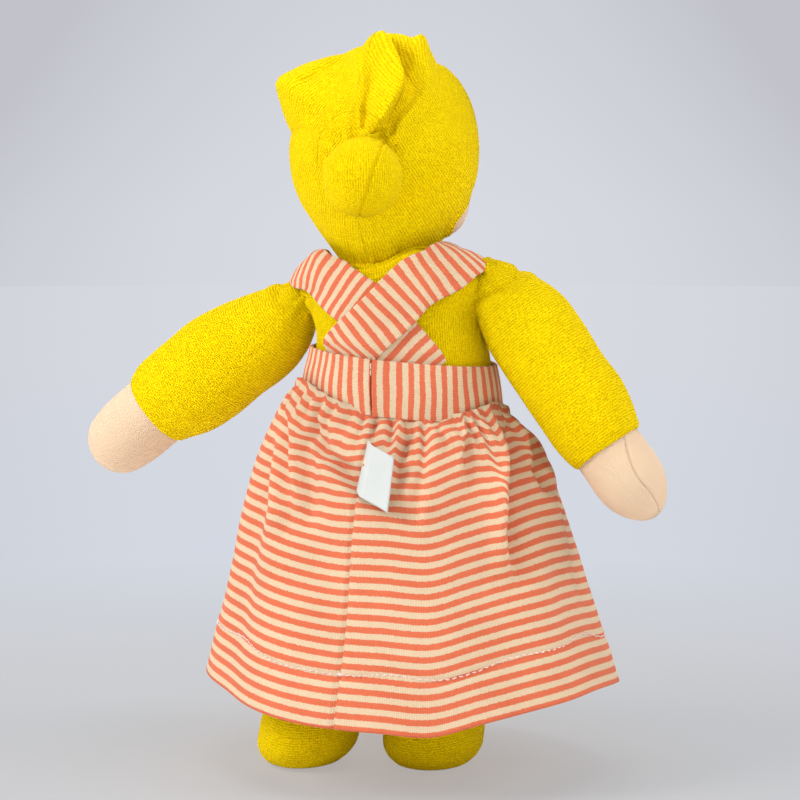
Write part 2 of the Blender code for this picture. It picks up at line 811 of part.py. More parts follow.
def strap_points(side):
    """The strap's middle line, from the front of the waistband over one shoulder to the other back side."""
    top = WAIST_Z + WAISTBAND_HEIGHT
    back_top = torso_top_z()
    shares = (
        (STRAP_FRONT_X, -0.90, -0.10),
        (STRAP_FRONT_X, -0.90, 0.00),
        (STRAP_FRONT_X * 1.06, -0.86, 0.40),
        (STRAP_SHOULDER_X * 0.88, -0.62, 0.82),
        (STRAP_SHOULDER_X * 1.02, -0.10, 0.96),
        (STRAP_SHOULDER_X * 0.96, 0.42, 0.90),
        (STRAP_SHOULDER_X * 0.58, 0.74, 0.66),
        (0, 0.88, 0.40),
        (-STRAP_BACK_X, 0.92, 0.00),
        (-STRAP_BACK_X * 1.5, 0.94, -0.18),
    )
    points = []
    for across, deep, high in shares:
        z = blend(top, back_top, high)
        middle = torso_centre(z)
        points.append(Vector((middle.x + side * across, BODY_Y + TORSO_HALF_DEPTH * deep, z)))
    return points


def strap_lane(points, offset, tree, stand_off, lift_at):
    """One line of points along the strap, laid on the torso."""
    lane = []
    steps = 90
    for step in range(steps + 1):
        share = step / steps
        middle = curve_point(points, share)
        ahead = curve_point(points, min(share + 1 / steps, 1))
        behind = curve_point(points, max(share - 1 / steps, 0))
        _, normal, _, _ = tree.find_nearest(middle)
        across = (ahead - behind).cross(normal).normalized()
        spot, out, _, _ = tree.find_nearest(middle + across * offset)
        near = (spot - lift_at).length
        lift = smooth_step((CROSSING_REACH + CROSSING_FADE - near) / CROSSING_FADE)
        lane.append(spot + out * (stand_off + lift * (DRESS_JERSEY + TOUCH_GAP) * 2))
    return lane


def trimmed(lane, count):
    """The part of a lane that lies above the waistband, in equal steps."""
    def height(point):
        side = point.x - BODY_X
        return point.z - WAIST_Z - WAISTBAND_HEIGHT - TOUCH_GAP - waist_lift(side)

    kept = []
    for start, end in zip(lane, lane[1:]):
        low = height(start)
        high = height(end)
        if low < 0 <= high or high < 0 <= low:
            kept.append(start.lerp(end, low / (low - high)))
        if high >= 0:
            kept.append(end)
    lengths = [0]
    for start, end in zip(kept, kept[1:]):
        lengths.append(lengths[-1] + (end - start).length)
    spaced = []
    for step in range(count + 1):
        goal = lengths[-1] * step / count
        index = max(i for i, done in enumerate(lengths[:-1]) if done <= goal + 1e-12)
        span = lengths[index + 1] - lengths[index]
        spaced.append(kept[index].lerp(kept[index + 1], min((goal - lengths[index]) / span, 1)))
    return spaced


def ribbon(name, lanes, thickness, material):
    """A closed strip of cloth over a grid of points, with its thickness on the outer side."""
    bm = bmesh.new()
    grid = [[bm.verts.new(point) for point in lane] for lane in lanes]
    for lane, beside in zip(grid, grid[1:]):
        for step in range(len(lane) - 1):
            bm.faces.new((lane[step], lane[step + 1], beside[step + 1], beside[step]))
    bm.normal_update()
    torso = torso_centre(SHOULDER_Z)
    if sum(v.normal.dot(v.co - torso) for v in bm.verts) < 0:
        bmesh.ops.reverse_faces(bm, faces=bm.faces)
    made = place(name, bm, material)
    solid = made.modifiers.new("Cloth thickness", "SOLIDIFY")
    solid.thickness = thickness
    solid.offset = 1
    return made


def make_straps():
    torso = surface(*torso_rings())
    tree = BVHTree.FromBMesh(torso)
    torso.free()
    crossing_z = blend(WAIST_Z + WAISTBAND_HEIGHT, torso_top_z(), 0.38)
    crossing = torso_centre(crossing_z) + Vector((0, torso_size(crossing_z)[1], 0))
    far_away = head_centre() * 10
    for name, side, lift_at in (("strap_left", 1, far_away), ("strap_right", -1, crossing)):
        points = strap_points(side)
        lanes = []
        for lane in range(5):
            offset = blend(-STRAP_WIDTH, STRAP_WIDTH, lane / 4) / 2
            laid = strap_lane(points, offset, tree, STRAP_EASE, lift_at)
            lanes.append(trimmed(laid, 22))
        ribbon(name, lanes, DRESS_JERSEY, striped("strap jersey"))


def make_label(skirt):
    """A bare label, sewn into the skirt's back seam by one long side."""
    tree = nearest_tree(skirt)
    lanes = []
    for column in range(3):
        lane = []
        for row in range(5):
            outward = direction(LABEL_TURN, 0)
            aside = direction(LABEL_TURN + 90, 0)
            start = torso_centre(WAIST_Z) + outward * 2 * SKIRT_HEM_HALF_DEPTH
            start.z = WAIST_Z - LABEL_DROP - LABEL_LENGTH * row / 4 - LABEL_SLANT * column / 2
            spot, out, _, _ = tree.ray_cast(start + aside * LABEL_WIDTH * column / 2, -outward)
            lane.append(spot + out * (TOUCH_GAP + LABEL_THICKNESS))
        lanes.append(lane)
    ribbon("care_label", lanes, LABEL_THICKNESS, finish("label", 0.93, 0.93, 0.92, 0.8))


def main():
    clear_scene()
    tie = make_torso()
    head = make_head()
    hang([tie] + head, joint_mark("head_pivot", head_centre()))
    make_pompom()
    make_arm("left", 1, LEFT_ARM_DROP, LEFT_SLEEVE_LENGTH, LEFT_SLEEVE_BOW, LEFT_ARM_WIDTH_SHARE)
    make_arm("right", -1, RIGHT_ARM_DROP, RIGHT_SLEEVE_LENGTH, RIGHT_SLEEVE_BOW, RIGHT_ARM_WIDTH_SHARE)
    make_leg("left", 1, LEFT_FOOT_X, LEFT_FOOT_Y)
    make_leg("right", -1, RIGHT_FOOT_X, RIGHT_FOOT_Y)
    skirt = make_skirt()
    make_waistband()
    make_straps()
    make_label(skirt)


if __name__ == "__main__":
    main()
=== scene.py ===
"""A stuffed waldorf doll in a hooded terry suit and a striped pinafore dress.

The doll stands on its soles at z = 0 and faces -Y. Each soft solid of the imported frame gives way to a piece
of cloth laid in its place: a grid is cut flat, its rows are laid over the stuffed form, its edges are sewn,
and its flat place on the cloth stays with it as the UV map, in metres, so ribs and stripes follow the cut.
"""

import json
import math

import bpy
import numpy as np
from bpy.props import FloatProperty, FloatVectorProperty, IntProperty, PointerProperty
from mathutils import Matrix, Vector
from mathutils.bvhtree import BVHTree


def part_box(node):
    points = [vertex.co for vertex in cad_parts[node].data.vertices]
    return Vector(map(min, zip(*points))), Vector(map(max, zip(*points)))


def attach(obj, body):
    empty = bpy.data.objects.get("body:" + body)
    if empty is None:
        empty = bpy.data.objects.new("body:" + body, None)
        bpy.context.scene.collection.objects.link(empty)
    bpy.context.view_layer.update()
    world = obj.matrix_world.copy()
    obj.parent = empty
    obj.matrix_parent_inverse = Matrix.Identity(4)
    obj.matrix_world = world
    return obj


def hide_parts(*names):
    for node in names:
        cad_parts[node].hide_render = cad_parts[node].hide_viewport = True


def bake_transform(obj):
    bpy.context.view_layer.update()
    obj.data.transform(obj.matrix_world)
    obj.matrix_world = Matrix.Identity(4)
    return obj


bl_info = {
    "name": "Waldorf Doll",
    "version": (1, 0, 0),
    "blender": (4, 5, 0),
    "location": "View3D > Sidebar > Doll",
    "description": "Sews the cloth pieces of a stuffed waldorf doll over its packed frame",
    "category": "Add Mesh",
}

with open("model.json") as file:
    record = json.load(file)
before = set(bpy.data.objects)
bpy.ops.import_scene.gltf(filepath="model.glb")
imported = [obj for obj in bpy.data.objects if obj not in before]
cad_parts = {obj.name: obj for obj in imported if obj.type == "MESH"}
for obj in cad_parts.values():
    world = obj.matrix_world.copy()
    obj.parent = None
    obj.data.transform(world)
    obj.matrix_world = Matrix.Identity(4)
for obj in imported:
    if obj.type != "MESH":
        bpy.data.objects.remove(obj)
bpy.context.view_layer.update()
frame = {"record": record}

# Pieces of the body, in metres, as the solids have them
BODY_X = -0.0152
BODY_Y = 0.0026
TORSO_HALF_WIDTH = 0.0460
TORSO_HALF_DEPTH = 0.0360
BODY_LEAN = 0.0085
NECK_RADIUS = 0.0175
HOOD_RADIUS = 0.0432
FACE_RADIUS = 0.0415
POMPOM_RADIUS = 0.0184
POMPOM_GAP = 0.0003
POMPOM_BALL_RADIUS = 0.0172
POMPOM_TURN = 101.7
POMPOM_RISE = -9.0
CHEEK_SWELL = 0.0056
CHEEK_TURN = 74.0
CHEEK_RISE = -43.0
CHEEK_OPENING = 29.0
FACE_HALF_WIDTH_TURN = 68.0
FACE_HALF_HEIGHT_TURN = 52.0
SHOULDER_LEAN = 0.085
SHOULDER_FALLS = (0.0080, 0.0055)
SHOULDER_SPREADS = (0.0030, 0.0085)
ARMHOLE_REACH = 0.0113
ARMHOLE_THREAD_RADIUS = 0.0082
LEFT_SIDE_HOLLOW = 0.0040
LEFT_SIDE_HOLLOW_Z = 0.200
NECK_DIP = 0.0085
HOOD_NECK_RADIUS = 0.0172
HOOD_NECK_DEPTH = 0.0500
SLEEVE_RADIUS = 0.0210
HAND_DEPTH = 0.0168
HIP_Z = 0.112
LEG_RADIUS = 0.0230
FOOT_HALF_LENGTH = 0.0265
TOE_SHIFT = 0.0030
HIP_X = 0.0225
WAIST_Z = 0.1655
WAISTBAND_HEIGHT = 0.0252
WAIST_TILT = 0.0040
WAISTBAND_LAP_TURN = 91.0
WAISTBAND_WAY_ROUND = 358.4
SKIRT_BACK_Z = 0.0320
SKIRT_FRONT_Z = 0.0390
SKIRT_SIDE_RISE = 0.0080
SKIRT_CORNER_RISE = 0.0070
SKIRT_CORNER_TURN = 152.0
SKIRT_HEM_HALF_WIDTH = 0.0980
SKIRT_HEM_HALF_DEPTH = 0.0800
SKIRT_HEM_X = -0.0030
SKIRT_HEM_Y = -0.0060
HEM_STITCH_STEP = 0.0030
HEM_KNOT_TURN = 85.6
STRAP_SHOULDER_X = 0.0350
STRAP_FRONT_X = 0.0240
STRAP_CROSSING_SHARE = 0.32
THREAD_PITCH = 0.0006

# Where the photographer stood: turn, rise and distance of the camera, and what it looks at
SIGHT_TURN = 110.0
SIGHT_RISE = 5.0
CAMERA_DISTANCE = 1.05
CAMERA_LENS = 102.7
CAMERA_TARGET = (-0.01193, -0.00434, 0.169)
BACKDROP_PALE = (0.694, 0.710, 0.770)
BACKDROP_SHADE = (0.54, 0.546, 0.591)
WARM_WHITE = (1.0, 0.985, 0.96)
WHITE = (1.0, 1.0, 1.0)

# Height on the torso, half width, half depth and how far it leans to its left
TORSO_SHARES = (
    (0.000, 0.62, 0.20, 0.10),
    (0.020, 0.84, 0.60, 0.10),
    (0.080, 0.96, 0.88, 0.05),
    (0.180, 1.00, 1.00, 0.00),
    (0.400, 0.975, 0.985, 0.00),
    (0.590, 0.930, 0.930, 0.10),
    (0.760, 0.920, 0.860, 0.35),
    (0.860, 0.940, 0.800, 0.50),
    (0.930, 0.930, 0.750, 0.60),
    (0.976, 0.840, 0.680, 0.72),
    (0.997, 0.640, 0.570, 0.90),
    (1.000, 0.400, 0.486, 1.00),
)
# The gathered neck from its tie outward: radius, and height from the tie's middle
NECK_PROFILE = (
    (0.0150, -0.0040),
    (0.0166, -0.0050),
    (0.0184, -0.0064),
    (0.0204, -0.0078),
    (0.0226, -0.0094),
    (0.0250, -0.0114),
)
# Each sleeve, from its armhole to its cuff: way from the pivot, half height, and how far it bows up or sags
LEFT_SLEEVE = (
    (-0.0170, 0.0062, -0.0040),
    (-0.0113, 0.0098, -0.0042),
    (-0.0040, 0.0132, -0.0050),
    (0.0040, 0.0175, -0.0057),
    (0.0140, 0.0213, -0.0055),
    (0.0260, 0.0236, -0.0041),
    (0.0380, 0.0248, -0.0022),
    (0.0600, 0.0250, -0.0015),
    (0.0700, 0.0243, -0.0006),
    (0.0800, 0.0220, 0.0008),
    (0.0860, 0.0196, 0.0008),
)
RIGHT_SLEEVE = (
    (-0.0190, 0.0060, 0.0015),
    (-0.0120, 0.0112, 0.0018),
    (-0.0040, 0.0146, 0.0024),
    (0.0040, 0.0178, 0.0032),
    (0.0140, 0.0203, 0.0036),
    (0.0260, 0.0208, 0.0034),
    (0.0440, 0.0204, 0.0027),
    (0.0600, 0.0205, 0.0026),
    (0.0680, 0.0197, 0.0017),
    (0.0740, 0.0184, 0.0011),
    (0.0805, 0.0166, 0.0008),
)
# Half depth of both sleeves, in the same places
SLEEVE_DEPTHS = (
    (-0.0190, 0.0090), (-0.0120, 0.0135), (0.0000, 0.0172), (0.0200, 0.0198), (0.0500, 0.0205),
    (0.0680, 0.0200), (0.0860, 0.0170),
)
# Each hand from inside its cuff to its tip: way as a share of its length, half width as a share of its widest
LEFT_HAND_SHARES = (
    (-0.15, 0.92), (0.0, 0.99), (0.16, 1.0), (0.33, 1.0), (0.45, 0.98), (0.56, 0.95), (0.66, 0.91),
    (0.77, 0.83), (0.88, 0.65), (0.955, 0.42), (0.99, 0.20), (1.0, 0.0),
)
RIGHT_HAND_SHARES = (
    (-0.15, 0.92), (0.0, 0.99), (0.16, 1.0), (0.33, 1.01), (0.45, 0.995), (0.55, 0.96), (0.66, 0.88),
    (0.77, 0.75), (0.87, 0.57), (0.95, 0.36), (0.988, 0.17), (1.0, 0.0),
)
# Height from the sole to the hip, half width, half depth, and the way from foot to hip
LEG_SHARES = (
    (0.000, 0.62, 0.62, 0.00),
    (0.006, 0.70, 0.70, 0.01),
    (0.022, 0.80, 0.80, 0.02),
    (0.070, 0.96, 0.96, 0.07),
    (0.130, 1.00, 1.00, 0.13),
    (0.330, 0.97, 0.90, 0.33),
    (0.600, 0.94, 0.80, 0.60),
    (0.800, 0.90, 0.64, 0.80),
    (0.920, 0.85, 0.36, 0.92),
    (1.000, 0.82, 0.15, 1.00),
    (1.022, 0.76, 0.10, 1.00),
)
# Down the skirt from the waist to the hem, and how far it has spread from waist to hem size
SKIRT_SHARES = (
    (0.00, 0.00),
    (0.04, 0.10),
    (0.12, 0.235),
    (0.24, 0.395),
    (0.40, 0.560),
    (0.56, 0.705),
    (0.72, 0.825),
    (0.87, 0.925),
    (1.00, 1.00),
)
# Folds of the skirt: turn at the waist, turn at the hem, half width, depth in metres, where it is deepest
SKIRT_FOLDS = (
    (38.0, 44.0, 6.0, 0.0048, 0.35),
    (62.0, 92.0, 7.0, 0.0045, 0.28),
    (128.0, 138.0, 8.0, 0.0042, 0.55),
    (161.0, 166.0, 7.0, 0.0062, 0.30),
    (186.0, 182.0, 7.0, 0.0051, 0.60),
    (10.0, 12.0, 8.0, 0.0051, 0.60),
    (210.0, 214.0, 8.0, 0.0068, 0.45),
    (240.0, 236.0, 7.0, 0.0064, 0.55),
    (268.0, 270.0, 8.0, 0.0076, 0.50),
    (298.0, 302.0, 7.0, 0.0064, 0.55),
    (328.0, 334.0, 8.0, 0.0068, 0.45),
)
# Where the gathers puff up over the waistband: turn, half width in degrees, height
SKIRT_HEADINGS = ((38.0, 26.0, 0.0088), (166.0, 22.0, 0.0062), (290.0, 40.0, 0.0030))
# Creases seen on the back of the skirt: turns at shares of the way down, depth and half widths in degrees
SKIRT_CREASES = (
    (((0.04, 51), (0.07, 58), (0.14, 67), (0.17, 78), (0.23, 88), (0.34, 107)), 0.0034, 4.0, 9.0),
    (((0.12, 44), (0.37, 60), (0.50, 60)), 0.0028, 3.0, 6.0),
    (((0.05, 42), (0.12, 59), (0.32, 66), (0.45, 68)), 0.0026, 3.0, 5.0),
    (((0.00, 110), (0.16, 103), (0.26, 101)), 0.0032, 2.0, 3.5),
    (((0.00, 165), (0.11, 161), (0.23, 151), (0.38, 146), (0.62, 144)), 0.0062, 3.0, 9.0),
    (((0.03, 184), (0.21, 170), (0.33, 171)), 0.0044, 3.0, 6.0),
)
# Pleats: one side of the line stands proud of the other
SKIRT_PLEATS = (
    (((0.00, 121), (0.09, 117), (0.21, 113), (0.40, 110)), 0.0027, 1.2, 11.0),
    (((0.00, 141), (0.12, 132), (0.26, 129)), -0.0024, 1.2, 9.0),
)
# The folded hood from behind: turn about the line of sight, and reach of its outline in hood radii
HOOD_OUTLINE = (
    (-180.0, 1.00),
    (-50.0, 1.01),
    (-37.0, 1.03),
    (-20.0, 1.00),
    (0.0, 1.00),
    (10.7, 1.015),
    (20.1, 1.039),
    (34.8, 1.087),
    (45.4, 1.121),
    (55.2, 1.139),
    (60.4, 1.124),
    (65.7, 1.205),
    (70.4, 1.315),
    (72.7, 1.335),
    (76.6, 1.275),
    (81.4, 1.290),
    (87.8, 1.288),
    (93.8, 1.268),
    (97.3, 1.235),
    (101.0, 1.167),
    (112.0, 1.157),
    (124.6, 1.226),
    (136.7, 1.318),
    (142.9, 1.375),
    (146.4, 1.367),
    (152.6, 1.234),
    (165.5, 1.007),
    (180.0, 1.00),
)
# Lines over the hood as it is seen from behind, in metres right of and above the head's centre
RIDGE = (
    (-5.0, 56.5), (-1.0, 53.6), (0.1, 48.1), (2.9, 42.6), (5.2, 36.4), (6.9, 30.9), (7.2, 27.0),
    (6.0, 23.1), (4.0, 19.2), (1.3, 13.7), (-2.6, 8.2),
)
VALLEY = ((-2.6, 42.0), (-3.6, 36.8), (-5.1, 29.1), (-7.0, 20.1), (-8.2, 9.0))
CREASE = ((6.6, 24.0), (6.2, 20.0), (5.5, 14.1), (3.6, 6.0))
FLAP_EDGE = ((25.0, 33.0), (23.5, 24.6), (19.0, 18.6), (13.6, 11.8), (6.0, 1.5))
CORNER_FOLD = ((-39.0, 28.0), (-36.0, 31.4), (-27.7, 37.4), (-17.0, 42.4))


def unit(vectors):
    """Vectors of length one."""
    return vectors / np.linalg.norm(vectors, axis=-1, keepdims=True)


def direction(turn, rise):
    """The unit vector turned from +X about +Z and raised from level, in degrees."""
    flat = math.cos(math.radians(rise))
    across = math.cos(math.radians(turn)) * flat
    return np.array((across, math.sin(math.radians(turn)) * flat, math.sin(math.radians(rise))))


BACKWARD = np.array((0, 1.0, 0))
SIGHT = direction(SIGHT_TURN, SIGHT_RISE)
SIGHT_RIGHT = unit(np.array((-SIGHT[1], SIGHT[0], 0)))
SIGHT_UP = np.cross(SIGHT, SIGHT_RIGHT)


def pivot(joint):
    """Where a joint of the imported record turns."""
    for known in frame["record"]["behaviour"]["joints"]:
        if known["name"] == joint:
            return np.array(known["pos_m"], float)
    raise RuntimeError(f"the record has no joint named {joint}")


HEAD = pivot("head_nod")
TORSO_BOTTOM_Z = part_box("torso_casing")[0].z
TORSO_TOP_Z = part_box("torso_casing")[1].z
POMPOM = HEAD + direction(POMPOM_TURN, POMPOM_RISE) * (HOOD_RADIUS + POMPOM_GAP + POMPOM_RADIUS)


def smooth(share):
    """A share from 0 to 1 that starts and ends gently, and stays at 0 or 1 beyond them."""
    held = np.clip(share, 0, 1)
    return held * held * (3 - 2 * held)


def bump(apart, width):
    """A round bump: 1 at its middle, and nearly nothing at twice its width."""
    return np.exp(-((apart / width) ** 2))


def turned(place, middle, full=360):
    """How far a turn lies from a middle, by the shorter way round."""
    return (place - middle + full / 2) % full - full / 2


def curve_through(places, values, at):
    """A smooth curve through values at rising places, read at other places."""
    places = np.asarray(places, float)
    values = np.asarray(values, float)
    at = np.asarray(at, float)
    slopes = np.gradient(values, places, axis=0)
    index = np.clip(np.searchsorted(places, at, side="right") - 1, 0, len(places) - 2)
    span = places[index + 1] - places[index]
    way = np.clip((at - places[index]) / span, 0, 1)
    if values.ndim > 1:
        span = span[..., None]
        way = way[..., None]
    square = way * way
    cube = square * way
    start = values[index] * (2 * cube - 3 * square + 1) + slopes[index] * span * (cube - 2 * square + way)
    return start + values[index + 1] * (3 * square - 2 * cube) + slopes[index + 1] * span * (cube - square)


def lengths_along(path):
    """The length along a path, at each of its places."""
    steps = np.linalg.norm(np.diff(path, axis=0), axis=1)
    return np.concatenate(([0], np.cumsum(steps)))


def evenly(path, count, measured=None):
    """Rows of a path in equal steps of its length, which only its first columns, the measured ones, make."""
    path = np.asarray(path, float)
    length = lengths_along(path[:, :measured])
    goals = np.linspace(0, length[-1], count)
    columns = [np.interp(goals, length, path[:, column]) for column in range(path.shape[1])]
    return np.stack(columns, axis=1)


def beside(path, across, up):
    """The signed distance of places from a line, positive on its right hand, and the share of the way."""
    path = np.asarray(path, float)
    steps = np.linalg.norm(np.diff(path, axis=0), axis=1)
    length = lengths_along(path)
    nearest = np.full(across.shape, 1e9)
    signed = np.zeros(across.shape)
    share = np.zeros(across.shape)
    for index, (start, end) in enumerate(zip(path, path[1:])):
        run = end - start
        along = ((across - start[0]) * run[0] + (up - start[1]) * run[1]) / steps[index] ** 2
        held = np.clip(along, 0, 1)
        apart = np.hypot(across - start[0] - run[0] * held, up - start[1] - run[1] * held)
        side = np.sign(run[0] * (up - start[1]) - run[1] * (across - start[0]))
        closer = apart < nearest
        nearest = np.where(closer, apart, nearest)
        signed = np.where(closer, apart * side, signed)
        share = np.where(closer, (length[index] + held * steps[index]) / length[-1], share)
    return signed, share


def ripple(seed, count, places, period):
    """A smooth random wave from -1 to 1 that closes on itself after a period."""
    knots = np.random.default_rng(seed).uniform(-1, 1, count)
    step = (np.asarray(places) % period) / period * count
    low = np.floor(step).astype(int)
    way = smooth(step - low)
    return knots[low % count] * (1 - way) + knots[(low + 1) % count] * way


def puckers(angles, radius, along, seed, count, depth, reach):
    """How far the gathers beside a drawn-up edge sink: each has its own place, depth and length."""
    dice = np.random.default_rng(seed)
    sunk = np.zeros(np.broadcast(angles, along).shape)
    for index in range(count):
        middle = 2 * math.pi * (index + dice.uniform(-0.32, 0.32)) / count
        own_depth = depth * dice.uniform(0.55, 1.25)
        own_reach = reach * dice.uniform(0.45, 1.3)
        apart = turned(angles, middle, 2 * math.pi)
        wide = 0.0009 + 0.10 * np.maximum(along, 0)
        fade = smooth(1 - along / own_reach) * smooth(along / 0.0025 + 0.5)
        sunk += own_depth * fade * bump(apart * radius, wide)
    return sunk


def normals_of(points, closed):
    """The outward normal at each point of a grid, whose columns may close on themselves."""
    if closed:
        ahead = np.roll(points[:, :-1], -1, axis=1) - np.roll(points[:, :-1], 1, axis=1)
        across = np.concatenate((ahead, ahead[:, :1]), axis=1)
    else:
        across = np.gradient(points, axis=1)
    down = np.gradient(points, axis=0)
    made = np.cross(across, down)
    made = made / np.maximum(np.linalg.norm(made, axis=2, keepdims=True), 1e-12)
    middle = points.reshape(-1, 3).mean(axis=0)
    if ((points - middle) * made).sum() < 0:
        made = -made
    return made


def lengths_down(points):
    """The length along each column of a grid, from its first row."""
    steps = np.linalg.norm(np.diff(points, axis=0), axis=2)
    return np.concatenate((np.zeros((1, points.shape[1])), np.cumsum(steps, axis=0)))


def evened(points, passes):
    """A grid of points smoothed along its rows and columns, with its border held."""
    for _ in range(passes):
        eased = points.copy()
        eased[1:-1] = (points[:-2] + 2 * points[1:-1] + points[2:]) / 4
        eased[:, 1:-1] = (eased[:, :-2] + 2 * eased[:, 1:-1] + eased[:, 2:]) / 4
        points = eased
    return points


def flat_places(across, along):
    """Where each point of a grid lies on the flat cloth."""
    return np.stack(np.broadcast_arrays(across, along), axis=2)


def cut_cloth(name, points, flat):
    """Cuts a grid of cloth, lays it on rows of points, and sews the edges that meet."""
    rows, columns = points.shape[:2]
    bpy.ops.object.select_all(action="DESELECT")
    bpy.ops.mesh.primitive_grid_add(x_subdivisions=columns - 1, y_subdivisions=rows - 1, size=1)
    piece = bpy.context.object
    piece.name = name
    mesh = piece.data
    mesh.name = name
    if len(mesh.vertices) != rows * columns:
        raise RuntimeError(f"{name}: the cut grid has {len(mesh.vertices)} points, not {rows * columns}")
    cut = np.empty(len(mesh.vertices) * 3)
    mesh.vertices.foreach_get("co", cut)
    cut = cut.reshape(-1, 3)
    column = np.rint((cut[:, 0] + 0.5) * (columns - 1)).astype(int)
    row = np.rint((cut[:, 1] + 0.5) * (rows - 1)).astype(int)
    mesh.vertices.foreach_set("co", points[row, column].astype(np.float32).ravel())
    corners = np.empty(len(mesh.loops), int)
    mesh.loops.foreach_get("vertex_index", corners)
    laid = flat[row, column][corners].astype(np.float32)
    mesh.uv_layers.active.data.foreach_set("uv", laid.ravel())
    mesh.update()
    bpy.ops.object.mode_set(mode="EDIT")
    bpy.ops.mesh.select_all(action="SELECT")
    bpy.ops.mesh.remove_doubles(threshold=1e-6)
    bpy.ops.mesh.normals_make_consistent(inside=False)
    bpy.ops.object.mode_set(mode="OBJECT")
    turn_outwards(piece)
    bpy.ops.object.shade_smooth()
    return piece


def turn_outwards(piece):
    """Turns an open cloth's faces over if they look at its middle."""
    mesh = piece.data
    centres = np.empty(len(mesh.polygons) * 3)
    normals = np.empty(len(mesh.polygons) * 3)
    mesh.polygons.foreach_get("center", centres)
    mesh.polygons.foreach_get("normal", normals)
    centres = centres.reshape(-1, 3)
    outward = ((centres - centres.mean(axis=0)) * normals.reshape(-1, 3)).sum()
    if outward < 0:
        bpy.ops.object.mode_set(mode="EDIT")
        bpy.ops.mesh.select_all(action="SELECT")
        bpy.ops.mesh.flip_normals()
        bpy.ops.object.mode_set(mode="OBJECT")


def thicken(piece, thickness, offset=-1):
    """Gives a single cloth its thickness, inward at an offset of -1 and outward at 1."""
    bpy.context.view_layer.objects.active = piece
    bpy.ops.object.modifier_add(type="SOLIDIFY")
    layer = piece.modifiers[-1]
    layer.thickness = thickness
    layer.offset = offset
    bpy.ops.object.modifier_apply(modifier=layer.name)


def hand_over(piece, finish, body=None, stands_for=()):
    """Gives a finished piece its cloth, and ties it to the frame."""
    piece.data.materials.clear()
    piece.data.materials.append(finish)
    if stands_for:
        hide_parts(*stands_for)
    if body is not None:
        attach(piece, body)


def stitches(name, starts, ends, outs, radius, lift):
    """Short threads sewn from point to point, each one arching out of the cloth and back in."""
    sides = 6
    rings = 7
    starts = np.asarray(starts, float)
    ends = np.asarray(ends, float)
    outs = unit(np.asarray(outs, float))
    way = np.linspace(0, 1, rings)
    arch = np.sin(np.pi * way)
    middle = starts[:, None] * (1 - way)[None, :, None] + ends[:, None] * way[None, :, None]
    middle = middle + outs[:, None] * (lift * arch - radius * 1.2 * (1 - arch))[None, :, None]
    runs = unit(ends - starts)
    aside = unit(np.cross(runs, outs))
    above = np.cross(aside, runs)
    angle = np.linspace(0, 2 * np.pi, sides, endpoint=False)
    thick = radius * np.sqrt(np.clip(1 - (2 * way - 1) ** 6, 0.08, 1))
    ring = aside[:, None, None] * np.cos(angle)[None, None, :, None]
    ring = ring + above[:, None, None] * np.sin(angle)[None, None, :, None]
    points = middle[:, :, None] + ring * thick[None, :, None, None]
    count = len(starts)
    faces = []
    for stitch in range(count):
        base = stitch * rings * sides
        for level in range(rings - 1):
            for side in range(sides):
                after = (side + 1) % sides
                low = base + level * sides
                faces.append((low + side, low + after, low + sides + after, low + sides + side))
        faces.append(tuple(base + side for side in reversed(range(sides))))
        faces.append(tuple(base + (rings - 1) * sides + side for side in range(sides)))
    mesh = bpy.data.meshes.new(name)
    mesh.from_pydata(points.reshape(-1, 3).tolist(), [], faces)
    mesh.uv_layers.new(name="UVMap")
    mesh.update()
    piece = bpy.data.objects.new(name, mesh)
    bpy.context.scene.collection.objects.link(piece)
    bpy.ops.object.select_all(action="DESELECT")
    piece.select_set(True)
    bpy.context.view_layer.objects.active = piece
    bpy.ops.object.mode_set(mode="EDIT")
    bpy.ops.mesh.select_all(action="SELECT")
    bpy.ops.mesh.normals_make_consistent(inside=False)
    bpy.ops.object.mode_set(mode="OBJECT")
    bpy.ops.object.shade_smooth()
    return piece


